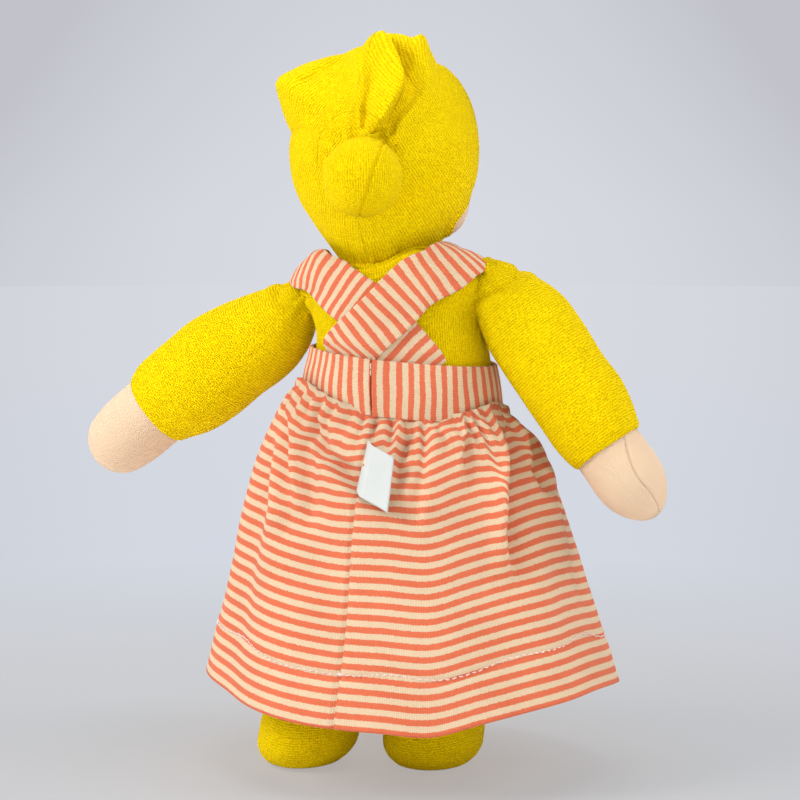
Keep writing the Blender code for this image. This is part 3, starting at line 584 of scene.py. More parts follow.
def puffed(points, limit, excess):
    """A grid of stuffed cloth, its columns closed, after a short simulation with air pressed into it.

    A coarser copy ten times as large is simulated, since the solver is made for clothes of that size. How far
    it moved, at most the limit, is then spread over the grid's own rows and columns. The excess is how much
    more cloth there is than the form needs.
    """
    scale = 10.0
    girth = np.linalg.norm(points - points.mean(axis=1, keepdims=True), axis=2).mean(axis=1)
    open_rows = np.nonzero(girth > 0.003)[0]
    rows = np.unique(np.linspace(open_rows[0], open_rows[-1], 56).astype(int))
    columns = np.linspace(0, points.shape[1] - 1, 73).astype(int)
    coarse = points[rows][:, columns[:-1]]
    count, around = coarse.shape[:2]
    index = np.arange(count * around).reshape(count, around)
    after = np.roll(index, -1, axis=1)
    faces = np.stack((index[:-1], after[:-1], after[1:], index[1:]), axis=2).reshape(-1, 4)
    outward = normals_of(np.concatenate((coarse, coarse[:, :1]), axis=1), True)[:, :-1]
    start = (coarse - outward * limit * 0.3) * scale
    mesh = bpy.data.meshes.new("puffed")
    mesh.from_pydata(start.reshape(-1, 3).tolist(), [], faces.tolist())
    copy = bpy.data.objects.new("puffed", mesh)
    bpy.context.collection.objects.link(copy)
    held = copy.vertex_groups.new(name="held")
    held.add(index[[0, 1, -2, -1]].ravel().tolist(), 1.0, "REPLACE")
    cloth = copy.modifiers.new("cloth", "CLOTH")
    cloth.settings.quality = 6
    cloth.settings.mass = 0.3
    cloth.settings.vertex_group_mass = "held"
    cloth.settings.use_pressure = True
    cloth.settings.uniform_pressure_force = 4.0
    cloth.settings.shrink_min = -excess
    cloth.settings.shrink_max = -excess
    cloth.settings.effector_weights.gravity = 0
    cloth.settings.tension_stiffness = 12
    cloth.settings.compression_stiffness = 12
    cloth.settings.bending_stiffness = 0.3
    for number in range(1, 21):
        bpy.context.scene.frame_set(number)
    graph = bpy.context.evaluated_depsgraph_get()
    found = np.empty(count * around * 3, np.float32)
    copy.evaluated_get(graph).data.vertices.foreach_get("co", found)
    bpy.data.objects.remove(copy)
    bpy.data.meshes.remove(mesh)
    bpy.context.scene.frame_set(1)
    moved = found.reshape(count, around, 3).astype(float) / scale - coarse
    far = np.linalg.norm(moved, axis=2, keepdims=True)
    moved = moved * np.minimum(1, limit / np.maximum(far, 1e-9))
    moved = np.concatenate((moved, moved[:, :1]), axis=1)
    reached = np.arange(rows[0], rows[-1] + 1)
    down = curve_through(rows, moved.reshape(count, -1), reached).reshape(len(reached), -1, 3)
    across = np.swapaxes(down, 0, 1).reshape(len(columns), -1)
    across = curve_through(columns, across, np.arange(points.shape[1])).reshape(points.shape[1], -1, 3)
    swollen = points.copy()
    swollen[reached] += np.swapaxes(across, 0, 1)
    return swollen


class Wire:
    """The output of a node. Sums with it add Math nodes."""

    def __init__(self, finish, socket):
        self.finish = finish
        self.socket = socket

    def worked(self, operation, *values):
        return self.finish.maths(operation, *values)

    def __add__(self, other):
        return self.worked("ADD", self, other)

    __radd__ = __add__

    def __sub__(self, other):
        return self.worked("SUBTRACT", self, other)

    def __rsub__(self, other):
        return self.worked("SUBTRACT", other, self)

    def __mul__(self, other):
        return self.worked("MULTIPLY", self, other)

    __rmul__ = __mul__

    def __truediv__(self, other):
        return self.worked("DIVIDE", self, other)


class Nodes:
    """The nodes of a material or of the world."""

    def __init__(self, tree):
        self.tree = tree

    def node(self, kind, settings=None, sockets=None, output=0):
        """A node of a type: its settings are set first, then the values or links of its sockets."""
        made = self.tree.nodes.new(kind)
        for key, value in (settings or {}).items():
            setattr(made, key, value)
        for key, value in (sockets or {}).items():
            if isinstance(value, Wire):
                self.tree.links.new(value.socket, made.inputs[key])
            else:
                made.inputs[key].default_value = value
        return Wire(self, made.outputs[output])

    def maths(self, operation, *values):
        return self.node("ShaderNodeMath", {"operation": operation}, dict(enumerate(values)))

    def clamped(self, value):
        return self.node("ShaderNodeClamp", {}, {0: value})

    def mixed(self, share, low, high):
        """A colour on the way from one to the other."""
        ends = {0: share, 6: low if isinstance(low, Wire) else (*low, 1)}
        ends[7] = high if isinstance(high, Wire) else (*high, 1)
        return self.node("ShaderNodeMix", {"data_type": "RGBA"}, ends, 2)

    def parts(self, vector):
        """The x, y and z of a vector."""
        node = self.node("ShaderNodeSeparateXYZ", {}, {0: vector}).socket.node
        return [Wire(self, output) for output in node.outputs]

    def seen(self):
        """1 for what the camera sees, also in a gloss or through glass, and 0 for light on other things."""
        rays = self.node("ShaderNodeLightPath").socket.node
        seen = Wire(self, rays.outputs["Is Camera Ray"]) + Wire(self, rays.outputs["Is Glossy Ray"])
        return self.clamped(seen + Wire(self, rays.outputs["Is Transmission Ray"]))

    def along_way(self, vector, way):
        """How far a vector reaches along a fixed direction."""
        ends = {0: vector, 1: tuple(float(value) for value in way)}
        return self.node("ShaderNodeVectorMath", {"operation": "DOT_PRODUCT"}, ends, 1)


class Finish(Nodes):
    """A cloth or thread finish in the making: its material and the nodes in it."""

    def __init__(self, name, roughness, sheen=0.0, sheen_roughness=0.5, tint=(1, 1, 1)):
        self.material = bpy.data.materials.new(name)
        self.material.use_nodes = True
        super().__init__(self.material.node_tree)
        self.shader = self.tree.nodes["Principled BSDF"]
        self.shader.inputs["Roughness"].default_value = roughness
        self.shader.inputs["Specular IOR Level"].default_value = 0.12
        self.shader.inputs["Specular Tint"].default_value = (*tint, 1)
        self.shader.inputs["Sheen Weight"].default_value = sheen
        self.shader.inputs["Sheen Roughness"].default_value = sheen_roughness
        self.shader.inputs["Sheen Tint"].default_value = (*tint, 1)

    def along_cloth(self):
        """The place on the flat cloth, in metres: across it and along it."""
        return self.parts(self.node("ShaderNodeUVMap"))[:2]

    def noise(self, scale, detail=2.0, roughness=0.5):
        """Noise from 0 to 1 over the object's own space."""
        place = self.node("ShaderNodeTexCoord", output=3)
        ends = {"Vector": place, "Scale": scale, "Detail": detail, "Roughness": roughness}
        return self.node("ShaderNodeTexNoise", {}, ends)

    def paint(self, colour):
        self.tree.links.new(colour.socket, self.shader.inputs["Base Color"])

    def roughen(self, value):
        self.tree.links.new(value.socket, self.shader.inputs["Roughness"])

    def emboss(self, height, distance, strength=1.0):
        ends = {"Height": height, "Distance": distance, "Strength": strength}
        raised = self.node("ShaderNodeBump", {}, ends)
        self.tree.links.new(raised.socket, self.shader.inputs["Normal"])


def terry_finish(name, colours, sizes):
    """Looped terry: rows of small loops, with painted shade between them, so it is brighter on the loops than
    between them.
    """
    cloth = Finish(name, 0.95, 0.16, 0.45, (1.0, 0.80, 0.02))
    across, along = cloth.along_cloth()
    wander = cloth.noise(420.0, 2.0)
    drift = (wander - 0.5) * 3.2
    row = along / sizes.rib_pitch
    ribs = cloth.maths("SINE", row * (2 * math.pi) + drift * 0.7)
    stagger = cloth.maths("FLOOR", row) * math.pi
    loops = cloth.maths("SINE", across / sizes.loop_pitch * (2 * math.pi) + stagger + drift)
    curls = cloth.noise(1500.0, 2.0, 0.6)
    height = cloth.clamped(ribs * 0.20 + loops * 0.16 + (curls - 0.5) * 1.9 + 0.52)
    worn = cloth.noise(26.0, 3.0)
    # Painted shade between the loops, its two tones mixed at random.
    deep = cloth.mixed(cloth.clamped((worn - 0.35) * 2.0), colours.terry_shade, colours.terry_shade_warm)
    crest = cloth.mixed(cloth.clamped((worn - 0.3) * 1.8), colours.terry_pale, colours.terry)
    # Painted shade: the colour goes from the crests of the loops to the painted shade in the hollows between
    # them.
    cloth.paint(cloth.mixed(cloth.clamped(height * 1.7 - 0.1), deep, crest))
    cloth.roughen(1.0 - height * 0.12)
    cloth.emboss(height, sizes.loop_height)
    return cloth.material


def stripe_finish(name, colours, sizes, lengthwise, phase=0.0, waver=0.0):
    """Knitted stripes of two yarns, with the zigzag of the stitches along each edge, fine wales, and painted
    shade between the stitches.
    """
    cloth = Finish(name, 0.88, 0.10, 0.5, (1.0, 0.9, 0.8))
    across, along = cloth.along_cloth()
    if lengthwise:
        across, along = along, across
    bend = cloth.noise(38.0, 1.0)
    wale = across / sizes.wale_pitch
    teeth = cloth.maths("PINGPONG", wale, 0.5)
    jitter = cloth.noise(900.0, 1.0)
    place = along + (bend - 0.5) * waver + teeth * (sizes.wale_pitch * 0.55) + (jitter - 0.5) * 0.0007
    wave = cloth.maths("SINE", place / sizes.stripe_pitch * (2 * math.pi) + phase)
    band = cloth.clamped(wave * 5.0 + 0.5)
    groove = cloth.maths("SINE", wale * (2 * math.pi))
    courses = cloth.maths("SINE", (along + teeth * 0.0006) / sizes.course_pitch * (2 * math.pi))
    fuzz = cloth.noise(1300.0, 2.0, 0.6)
    height = cloth.clamped(groove * 0.2 + courses * 0.14 + (fuzz - 0.5) * 0.5 + 0.5)
    worn = cloth.noise(30.0, 3.0)
    # Painted shade: each yarn darkens into the grooves between its stitches, together with a random tone of
    # the yarn.
    coral = cloth.mixed(cloth.clamped(height + (worn - 0.5) * 0.8), colours.coral_shade, colours.coral)
    cream = cloth.mixed(cloth.clamped(height * 1.3 + (worn - 0.5) * 0.5), colours.cream_shade, colours.cream)
    cloth.paint(cloth.mixed(band, cream, coral))
    cloth.emboss(height, sizes.knit_height)
    return cloth.material


def skin_finish(name, colours, sizes, blush=False):
    """Fine skin jersey with narrow wales and painted shade between them, a little rosier where it is rubbed.
    """
    cloth = Finish(name, 0.82, 0.12, 0.5, (1.0, 0.9, 0.84))
    across, along = cloth.along_cloth()
    wander = cloth.noise(500.0, 1.0)
    wale = cloth.maths("SINE", across / sizes.skin_wale_pitch * (2 * math.pi) + (wander - 0.5) * 1.5)
    course = cloth.maths("SINE", along / (sizes.skin_wale_pitch * 0.8) * (2 * math.pi))
    fuzz = cloth.noise(1600.0, 2.0)
    height = cloth.clamped(wale * 0.26 + course * 0.10 + (fuzz - 0.5) * 0.4 + 0.5)
    tone = cloth.noise(24.0, 3.0)
    base = cloth.mixed(cloth.clamped((tone - 0.3) * 2.0), colours.skin, colours.skin_rosy)
    # Painted shade: the jersey darkens between its wales.
    base = cloth.mixed(cloth.clamped(0.42 - height * 0.4), base, colours.skin_shade)
    if blush:
        base = cloth.mixed(cheeks(cloth), base, colours.blush)
    cloth.paint(base)
    cloth.emboss(height, sizes.knit_height * 0.6)
    return cloth.material


def cheeks(cloth):
    """Where the cheeks are rouged: two soft round spots on the front of the face."""
    place = cloth.node("ShaderNodeTexCoord", output=3)
    total = None
    for side in (-1, 1):
        spot = HEAD + direction(-90 + side * 33, -17) * FACE_RADIUS
        ends = {0: place, 1: tuple(spot)}
        apart = cloth.node("ShaderNodeVectorMath", {"operation": "DISTANCE"}, ends, 1)
        share = cloth.clamped(1.0 - apart / 0.0135) * 0.34
        total = share if total is None else total + share
    return total


def thread_finish(name, colour, shade):
    """Twisted sewing thread, with painted shade in the grooves of its twist."""
    cloth = Finish(name, 0.7, 0.2, 0.4)
    place = cloth.node("ShaderNodeTexCoord", output=3)
    ends = {"Vector": place, "Scale": 1 / THREAD_PITCH / 3, "Distortion": 2.0}
    twist = cloth.node("ShaderNodeTexWave", {"bands_direction": "DIAGONAL"}, ends)
    # Painted shade: the colour darkens to the shade colour in the grooves of the twist.
    cloth.paint(cloth.mixed(twist, shade, colour))
    cloth.emboss(twist, 0.0002)
    return cloth.material


def tape_finish(name, colours):
    """A bare woven label: satin tape with fine picks and painted shade between them."""
    cloth = Finish(name, 0.55, 0.1, 0.4)
    across, along = cloth.along_cloth()
    warp = cloth.maths("SINE", across / 0.00045 * (2 * math.pi))
    pick = cloth.maths("SINE", along / 0.00055 * (2 * math.pi))
    tone = cloth.noise(140.0, 2.0)
    height = cloth.clamped(warp * pick * 0.3 + 0.5)
    # Painted shade between the picks, mixed with a random tone of the tape.
    cloth.paint(cloth.mixed(cloth.clamped(height * 0.7 + tone * 0.5), colours.tape_shade, colours.tape))
    cloth.emboss(height, 0.00012)
    return cloth.material


class DollColours(bpy.types.PropertyGroup):
    """Colours of the doll's cloths, in linear values."""

    terry: FloatVectorProperty(
        name="Terry", description="Terry on its loops", subtype="COLOR", default=(1.0, 0.71, 0.001),
        min=0, max=1,
    )
    terry_pale: FloatVectorProperty(
        name="Pale terry", description="Terry where it is rubbed", subtype="COLOR",
        default=(1.0, 0.765, 0.002), min=0, max=1,
    )
    # Painted shade: the colour laid between the terry's loops.
    terry_shade: FloatVectorProperty(
        name="Terry shade", description="Terry between its loops", subtype="COLOR",
        default=(0.70, 0.41, 0.001), min=0, max=1,
    )
    # Painted shade between the terry's loops, a warmer copy mixed in at random.
    terry_shade_warm: FloatVectorProperty(
        name="Warm terry shade", description="Terry between its loops where it is less bleached",
        subtype="COLOR", default=(0.62, 0.35, 0.001), min=0, max=1,
    )
    coral: FloatVectorProperty(
        name="Coral", description="The coral yarn", subtype="COLOR", default=(0.66, 0.155, 0.076),
        min=0, max=1,
    )
    # Painted shade between the coral stitches.
    coral_shade: FloatVectorProperty(
        name="Coral shade", description="The coral yarn between stitches", subtype="COLOR",
        default=(0.47, 0.095, 0.042), min=0, max=1,
    )
    cream: FloatVectorProperty(
        name="Cream", description="The cream yarn", subtype="COLOR", default=(0.63, 0.495, 0.340),
        min=0, max=1,
    )
    # Painted shade between the cream stitches.
    cream_shade: FloatVectorProperty(
        name="Cream shade", description="The cream yarn between stitches", subtype="COLOR",
        default=(0.47, 0.325, 0.20), min=0, max=1,
    )
    skin: FloatVectorProperty(
        name="Skin", description="Skin jersey", subtype="COLOR", default=(0.60, 0.46, 0.325), min=0,
        max=1,
    )
    skin_rosy: FloatVectorProperty(
        name="Rosy skin", description="Skin jersey where it is rosier", subtype="COLOR",
        default=(0.60, 0.43, 0.295), min=0, max=1,
    )
    # Painted shade between the skin jersey's wales.
    skin_shade: FloatVectorProperty(
        name="Skin shade", description="Skin jersey between its wales", subtype="COLOR",
        default=(0.50, 0.345, 0.225), min=0, max=1,
    )
    blush: FloatVectorProperty(
        name="Blush", description="Rouge on the cheeks", subtype="COLOR", default=(0.86, 0.30, 0.22),
        min=0, max=1,
    )
    tape: FloatVectorProperty(
        name="Label", description="The bare label", subtype="COLOR", default=(0.52, 0.54, 0.53), min=0,
        max=1,
    )
    # Painted shade between the label's picks.
    tape_shade: FloatVectorProperty(
        name="Label shade", description="The label between its picks", subtype="COLOR",
        default=(0.43, 0.45, 0.44), min=0, max=1,
    )
    floor: FloatVectorProperty(
        name="Floor", description="The studio floor", subtype="COLOR", default=(0.36, 0.355, 0.35),
        min=0, max=1,
    )


class DollSizes(bpy.types.PropertyGroup):
    """Sizes of the doll's cloths."""

    rib_pitch: FloatProperty(
        name="Rib pitch", description="From rib to rib of the terry", unit="LENGTH", default=0.00125,
        min=0.0004, max=0.004,
    )
    loop_pitch: FloatProperty(
        name="Loop pitch", description="From loop to loop along a rib", unit="LENGTH", default=0.0008,
        min=0.0003, max=0.004,
    )
    loop_height: FloatProperty(
        name="Loop height", description="How far the loops stand out", unit="LENGTH", default=0.0009,
        min=0, max=0.003,
    )
    stripe_pitch: FloatProperty(
        name="Stripe pitch", description="One coral and one cream stripe of the dress", unit="LENGTH",
        default=0.0054, min=0.002, max=0.03,
    )
    wale_pitch: FloatProperty(
        name="Wale pitch", description="From wale to wale of the striped jersey", unit="LENGTH",
        default=0.00075, min=0.0003, max=0.003,
    )
    course_pitch: FloatProperty(
        name="Course pitch", description="From course to course of the striped jersey", unit="LENGTH",
        default=0.0006, min=0.0002, max=0.003,
    )
    knit_height: FloatProperty(
        name="Knit height", description="How far the jersey's stitches stand out", unit="LENGTH",
        default=0.00025, min=0, max=0.002,
    )
    skin_wale_pitch: FloatProperty(
        name="Skin wale pitch", description="From wale to wale of the skin jersey", unit="LENGTH",
        default=0.00095, min=0.0003, max=0.003,
    )
    ribbon_thickness: FloatProperty(
        name="Ribbon thickness", description="A folded strap or band", unit="LENGTH", default=0.0015,
        min=0.0005, max=0.004,
    )
    strap_width: FloatProperty(
        name="Strap width", description="Across a strap", unit="LENGTH", default=0.0243, min=0.008,
        max=0.04,
    )
    gather_depth: FloatProperty(
        name="Gather depth", description="How far the gathers sink", unit="LENGTH", default=0.0016,
        min=0, max=0.005,
    )
    sleeve_gathers: IntProperty(
        name="Sleeve gathers", description="Gathers round each armhole", default=9, min=3, max=40,
    )
    neck_gathers: IntProperty(
        name="Neck gathers", description="Gathers round the neck", default=30, min=6, max=80,
    )


def settings():
    scene = bpy.context.scene
    return scene.doll_colours, scene.doll_sizes


def torso_section(z):
    """Half width, half depth and the middle's x of the torso at some heights."""
    table = np.array(TORSO_SHARES)
    share = np.clip((z - TORSO_BOTTOM_Z) / (TORSO_TOP_Z - TORSO_BOTTOM_Z), 0, 1)
    read = [np.interp(share, table[:, 0], table[:, column]) for column in (1, 2, 3)]
    return read[0] * TORSO_HALF_WIDTH, read[1] * TORSO_HALF_DEPTH, BODY_X + BODY_LEAN * read[2]


def torso_points(rows, columns):
    """The torso's skin from the neck down to the closed bottom, in even rows."""
    table = np.array(TORSO_SHARES)
    shares = np.linspace(0, 1, 900)
    half_width = curve_through(table[:, 0], table[:, 1], shares) * TORSO_HALF_WIDTH
    half_depth = curve_through(table[:, 0], table[:, 2], shares) * TORSO_HALF_DEPTH
    lean = curve_through(table[:, 0], table[:, 3], shares)
    z = TORSO_BOTTOM_Z + shares * (TORSO_TOP_Z - TORSO_BOTTOM_Z)
    profile = np.stack((half_width, z, half_depth, lean), axis=1)[::-1]
    poles = profile[[0, -1]] * (0, 1, 0, 1)
    profile = evenly(np.vstack((poles[:1], profile, poles[1:])), rows, 2)
    angle = np.linspace(0, 2 * np.pi, columns)
    z = profile[:, 1, None]
    half = profile[:, 0, None] - left_hollow(z, np.cos(angle))
    x = BODY_X + BODY_LEAN * profile[:, 3, None] + half * np.cos(angle)
    y = BODY_Y + profile[:, 2, None] * np.sin(angle)
    points = np.stack(np.broadcast_arrays(x, y, z), axis=2)
    return dip_round_neck(slope_shoulders(drop_left_shoulder(points))), angle


def left_hollow(z, across):
    """How far the doll's left side is drawn in under its arm."""
    return LEFT_SIDE_HOLLOW * bump(z - LEFT_SIDE_HOLLOW_Z, 0.016) * smooth(across * 1.4)


def drop_left_shoulder(points):
    """The doll's left shoulder hangs lower than its right one."""
    high = smooth((points[..., 2] - 0.196) / 0.034)
    fallen = points.copy()
    fallen[..., 2] -= SHOULDER_LEAN * (points[..., 0] - BODY_X - BODY_LEAN * 0.75) * high
    return fallen


def dip_round_neck(points):
    """The torso's top sinks where the neck is tied into it."""
    away = np.hypot(points[..., 0] - BODY_X - BODY_LEAN, 0.72 * (points[..., 1] - BODY_Y))
    dipped = points.copy()
    dipped[..., 2] -= NECK_DIP * np.exp(-((away / 0.021) ** 4)) * smooth((points[..., 2] - 0.222) / 0.012)
    return dipped


def slope_shoulders(points):
    """Both shoulders slope down from the neck, the doll's left one more."""
    across = points[..., 0] - BODY_X - BODY_LEAN
    far = smooth((np.abs(across) - 0.012) / 0.032)
    fall = np.where(across > 0, SHOULDER_FALLS[0], SHOULDER_FALLS[1])
    rise = 0.0036 * bump(np.abs(across) - 0.024, 0.009)
    spread = np.where(across > 0, SHOULDER_SPREADS[0], SHOULDER_SPREADS[1])
    wider = spread * smooth((np.abs(across) - 0.022) / 0.018)
    sloped = points.copy()
    sloped[..., 0] += np.sign(across) * wider * bump(points[..., 2] - 0.228, 0.011)
    ahead = 0.0035 * smooth((BODY_Y + 0.004 - points[..., 1]) / 0.014)
    sloped[..., 2] -= (fall * far - rise + ahead) * smooth((points[..., 2] - 0.204) / 0.030)
    return sloped


def tree_over(points):
    """A search tree over a grid of points."""
    rows, columns = points.shape[:2]
    index = np.arange(rows * columns).reshape(rows, columns)
    quads = np.stack((index[:-1, :-1], index[:-1, 1:], index[1:, 1:], index[1:, :-1]), axis=2)
    return BVHTree.FromPolygons(points.reshape(-1, 3).tolist(), quads.reshape(-1, 4).tolist())


class DOLL_OT_torso(bpy.types.Operator):
    """Sew the torso of the suit, with its gathered neck and armholes"""

    bl_idname = "doll.torso"
    bl_label = "Sew Torso"
    bl_options = {"REGISTER", "UNDO"}

    def execute(self, context):
        colours, sizes = settings()
        points, angle = torso_points(190, 221)
        outward = normals_of(points, True)
        along = lengths_down(points)
        radius = np.hypot(points[..., 0] - points[..., 0].mean(axis=1)[:, None], points[..., 1] - BODY_Y)
        sunk = puckers(
            angle[None], radius, along - NECK_RADIUS, 5, sizes.neck_gathers, sizes.gather_depth, 0.016,
        )
        for side, joint in ((1, "left_arm_raise"), (-1, "right_arm_raise")):
            hub = pivot(joint) + np.array((-side * ARMHOLE_REACH, 0, 0.0035))
            away = np.linalg.norm(points - hub, axis=2)
            around = np.arctan2(points[..., 2] - hub[2], points[..., 1] - hub[1])
            sunk += puckers(around, away, away - 0.011, 11 + side, 12, sizes.gather_depth * 0.8, 0.014)
        slack = ripple(3, 11, angle, 2 * np.pi)[None] * ripple(4, 9, along, 0.2)
        points = puffed(points + outward * (slack * 0.0007 - sunk)[..., None], 0.0009, 0.02)
        width = angle * (TORSO_HALF_WIDTH + TORSO_HALF_DEPTH) / 2
        piece = cut_cloth("torso_suit", points, flat_places(along, width[None]))
        finish = terry_finish("torso terry", colours, sizes)
        hand_over(piece, finish, "torso", ("torso_casing", "torso_filling"))
        return {"FINISHED"}


def hood_directions(rows, columns):
    """Directions from the edge of the face opening to the back of the head."""
    angle = np.linspace(0, 2 * np.pi, columns)
    oval = np.hypot(FACE_HALF_WIDTH_TURN * np.cos(angle), FACE_HALF_HEIGHT_TURN * np.sin(angle))
    opening = np.radians(oval)
    for cheek in (222, 318):
        opening = opening + math.radians(CHEEK_OPENING) * bump(np.degrees(angle) - cheek, 20)
    level = np.linspace(0, 1, rows)[:, None]
    away = opening[None] + (math.pi - opening[None]) * level
    across = np.sin(away) * np.cos(angle)
    up = np.sin(away) * np.sin(angle)
    return np.stack((across, -np.cos(away), up), axis=2)


def hood_gain(ways):
    """How far the folded hood's outline stands out over some directions, as a share of its radius."""
    table = np.array(HOOD_OUTLINE)
    turn = np.degrees(np.arctan2(ways @ SIGHT_UP, ways @ SIGHT_RIGHT))
    away = np.degrees(np.arccos(np.clip(ways @ SIGHT, -1, 1)))
    fade = bump(away - 84, 24)
    return (np.interp(turn, table[:, 0], table[:, 1]) - 1) * fade


def hood_relief(across, up, depth):
    """Folds on the back of the hood: how far they stand out, and how far they hang over to the right."""
    mm = 0.001
    a = across / mm
    b = up / mm
    out = np.zeros(a.shape)
    over = np.zeros(a.shape)

    apart, way = beside(RIDGE, a, b)
    strong = np.interp(way, (0, 0.12, 0.65, 1), (0.35, 1.0, 1.0, 0.30))
    left_side = np.interp(b, (-5, 0, 25, 60), (-9, -10, -15, -22))
    right_side = np.interp(b, (0, 2.7, 11.8, 18.6, 24.6, 33, 60), (5, 7.7, 13.6, 19, 23.5, 25, 25))
    folded = smooth((a - left_side) / 8) * smooth((right_side - a) / 6) * smooth((b - 1) / 10)
    tube = np.where(apart < -0.9, bump(apart + 0.9, 5.0), bump(apart + 0.9, 1.3))
    pocket = smooth((apart + 0.6) / 1.8) * np.exp(-((np.maximum(apart - 1.2, 0) / 8.0) ** 1.3))
    out += 5.2 * folded + strong * (4.2 * tube - 13.0 * pocket)
    over += strong * 1.9 * bump(apart + 0.9, 1.7)

    apart, way = beside(VALLEY, a, b)
    wide = np.interp(way, (0, 1), (4.2, 1.5))
    out -= np.interp(way, (0, 0.35, 0.8, 1), (0.4, 3.2, 5.4, 4.2)) * bump(apart, wide)

    apart, way = beside(CREASE, a, b)
    out -= np.interp(way, (0, 0.4, 1), (0.9, 4.0, 3.2)) * bump(apart, 1.1)

    apart, way = beside(FLAP_EDGE, a, b)
    edge = np.where(apart > 0, bump(apart, 1.5), bump(apart, 5.0))
    out += np.interp(way, (0, 0.3, 1), (0.3, 2.0, 2.6)) * edge

    apart, way = beside(CORNER_FOLD, a, b)
    held = np.interp(way, (0, 0.2, 0.8, 1), (0.4, 1.0, 1.0, 0.2))
    out -= 2.0 * held * bump(apart, 2.2)
    out += 1.1 * held * bump(apart - 4.0, 3.0)

    pompom = POMPOM - HEAD
    from_a = a - pompom @ SIGHT_RIGHT / mm
    from_b = b - pompom @ SIGHT_UP / mm
    ring = np.hypot(from_a, from_b)
    turn = np.degrees(np.arctan2(from_b, from_a))
    lobes = np.cos(np.radians(turn * 15 + 40 * ripple(8, 14, turn + 180, 360)))
    near = bump(ring - 20, 6.5) * smooth((turn - 88) / 18) * smooth((188 - turn) / 18)
    out -= near * (0.55 + 0.55 * lobes) * 2.2
    seen = smooth((depth / mm - 5) / 17)
    return out * mm * seen, over * mm * seen


def cheek_swell(ways):
    """How far the stuffed cheeks press out beside the chin."""
    swell = np.zeros(ways.shape[:-1])
    for side in (-1, 1):
        cheek = direction(-90 + side * CHEEK_TURN, CHEEK_RISE)
        apart = np.degrees(np.arccos(np.clip(ways @ cheek, -1, 1)))
        swell = swell + CHEEK_SWELL * bump(apart, 17)
    return swell


def off_the_pompom(points, clear):
    """Points that would lie in the pompom are pushed out to its skin."""
    away = points - POMPOM
    far = np.linalg.norm(away, axis=2, keepdims=True)
    return np.where(far < clear, POMPOM + away / np.maximum(far, 1e-9) * clear, points)


class DOLL_OT_hood(bpy.types.Operator):
    """Sew the folded hood, with its rolled edge round the face"""

    bl_idname = "doll.hood"
    bl_label = "Sew Hood"
    bl_options = {"REGISTER", "UNDO"}

    def execute(self, context):
        colours, sizes = settings()
        ways = hood_directions(196, 481)
        reach = HOOD_RADIUS * (1 + hood_gain(ways)) * self.neck_gain(ways)
        ball = ways * HOOD_RADIUS
        points = ways * reach[..., None]
        out, over = hood_relief(points @ SIGHT_RIGHT, points @ SIGHT_UP, points @ SIGHT)
        push = unit(ways * 0.5 + SIGHT * 0.5)
        points = points + push * out[..., None] + SIGHT_RIGHT * over[..., None]
        under = np.degrees(np.arccos(np.clip(-ways[..., 2], -1, 1)))
        around = np.arctan2(ways[..., 1], ways[..., 0])
        along = np.radians(under - 17) * HOOD_RADIUS
        radius = HOOD_RADIUS * np.sin(np.radians(under))
        sunk = puckers(around, radius, along, 21, 22, sizes.gather_depth * 1.5, 0.016)
        slack = ripple(31, 17, around, 2 * np.pi) * ripple(32, 13, under, 180)
        points = points - ways * (sunk - slack * 0.0006)[..., None]
        points = self.with_rolled_edge(points, ways)
        far = np.linalg.norm(points, axis=2, keepdims=True)
        skin = (FACE_RADIUS + 0.0004 + cheek_swell(points / far))[..., None]
        points = np.where(far < skin, points / far * skin, points)
        points = off_the_pompom(points + HEAD, POMPOM_RADIUS + 0.0008)
        ball = np.concatenate((np.repeat(ball[:1], 10, axis=0), ball))
        side = np.where(ball[:, :, :1] > 0, 1.0, -1.0)
        axis = side * (0.7536, 0, 0) + (0, -0.327, 0.5678)
        latitude = np.arcsin(np.clip((ball * axis).sum(axis=2) / HOOD_RADIUS, -1, 1))
        first = unit(np.cross(axis, (0.0, 0.0, 1.0)))
        second = np.cross(axis, first)
        longitude = np.unwrap(np.arctan2((ball * second).sum(axis=2), (ball * first).sum(axis=2)), axis=1)
        flat = flat_places(longitude * HOOD_RADIUS * 0.8, latitude * HOOD_RADIUS)
        piece = cut_cloth("hood_cloth", points, flat)
        hand_over(piece, terry_finish("hood terry", colours, sizes), None, ("hood",))
        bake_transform(piece)
        return {"FINISHED"}

    def neck_gain(self, ways):
        """Below, the hood leaves the round of the head and runs straight down to the tied neck."""
        under = np.arccos(np.clip(-ways[..., 2], -1, 1))
        far = math.hypot(HOOD_NECK_RADIUS, HOOD_NECK_DEPTH)
        tied = math.atan2(HOOD_NECK_RADIUS, HOOD_NECK_DEPTH)
        leaves = tied + math.acos(HOOD_RADIUS / far)
        cone = 1 / np.cos(np.maximum(leaves - np.maximum(under, tied), 0))
        below = np.cos(tied) / np.cos(np.minimum(under, tied))
        return cone * below

    def with_rolled_edge(self, points, ways):
        """The terry turns in round the face opening, over a small roll, and lies back on the head."""
        edge = points[0]
        inward = unit(points[0] - points[6])
        roll = 0.0013
        centre = edge - ways[0] * roll
        rows = []
        for back in (0.0050, 0.0025):
            rows.append(centre - ways[0] * roll - inward * back)
        for turn in np.linspace(-90, 75, 8):
            round_edge = math.cos(math.radians(turn)) * inward + math.sin(math.radians(turn)) * ways[0]
            rows.append(centre + round_edge * roll)
        return np.concatenate((np.array(rows), points))


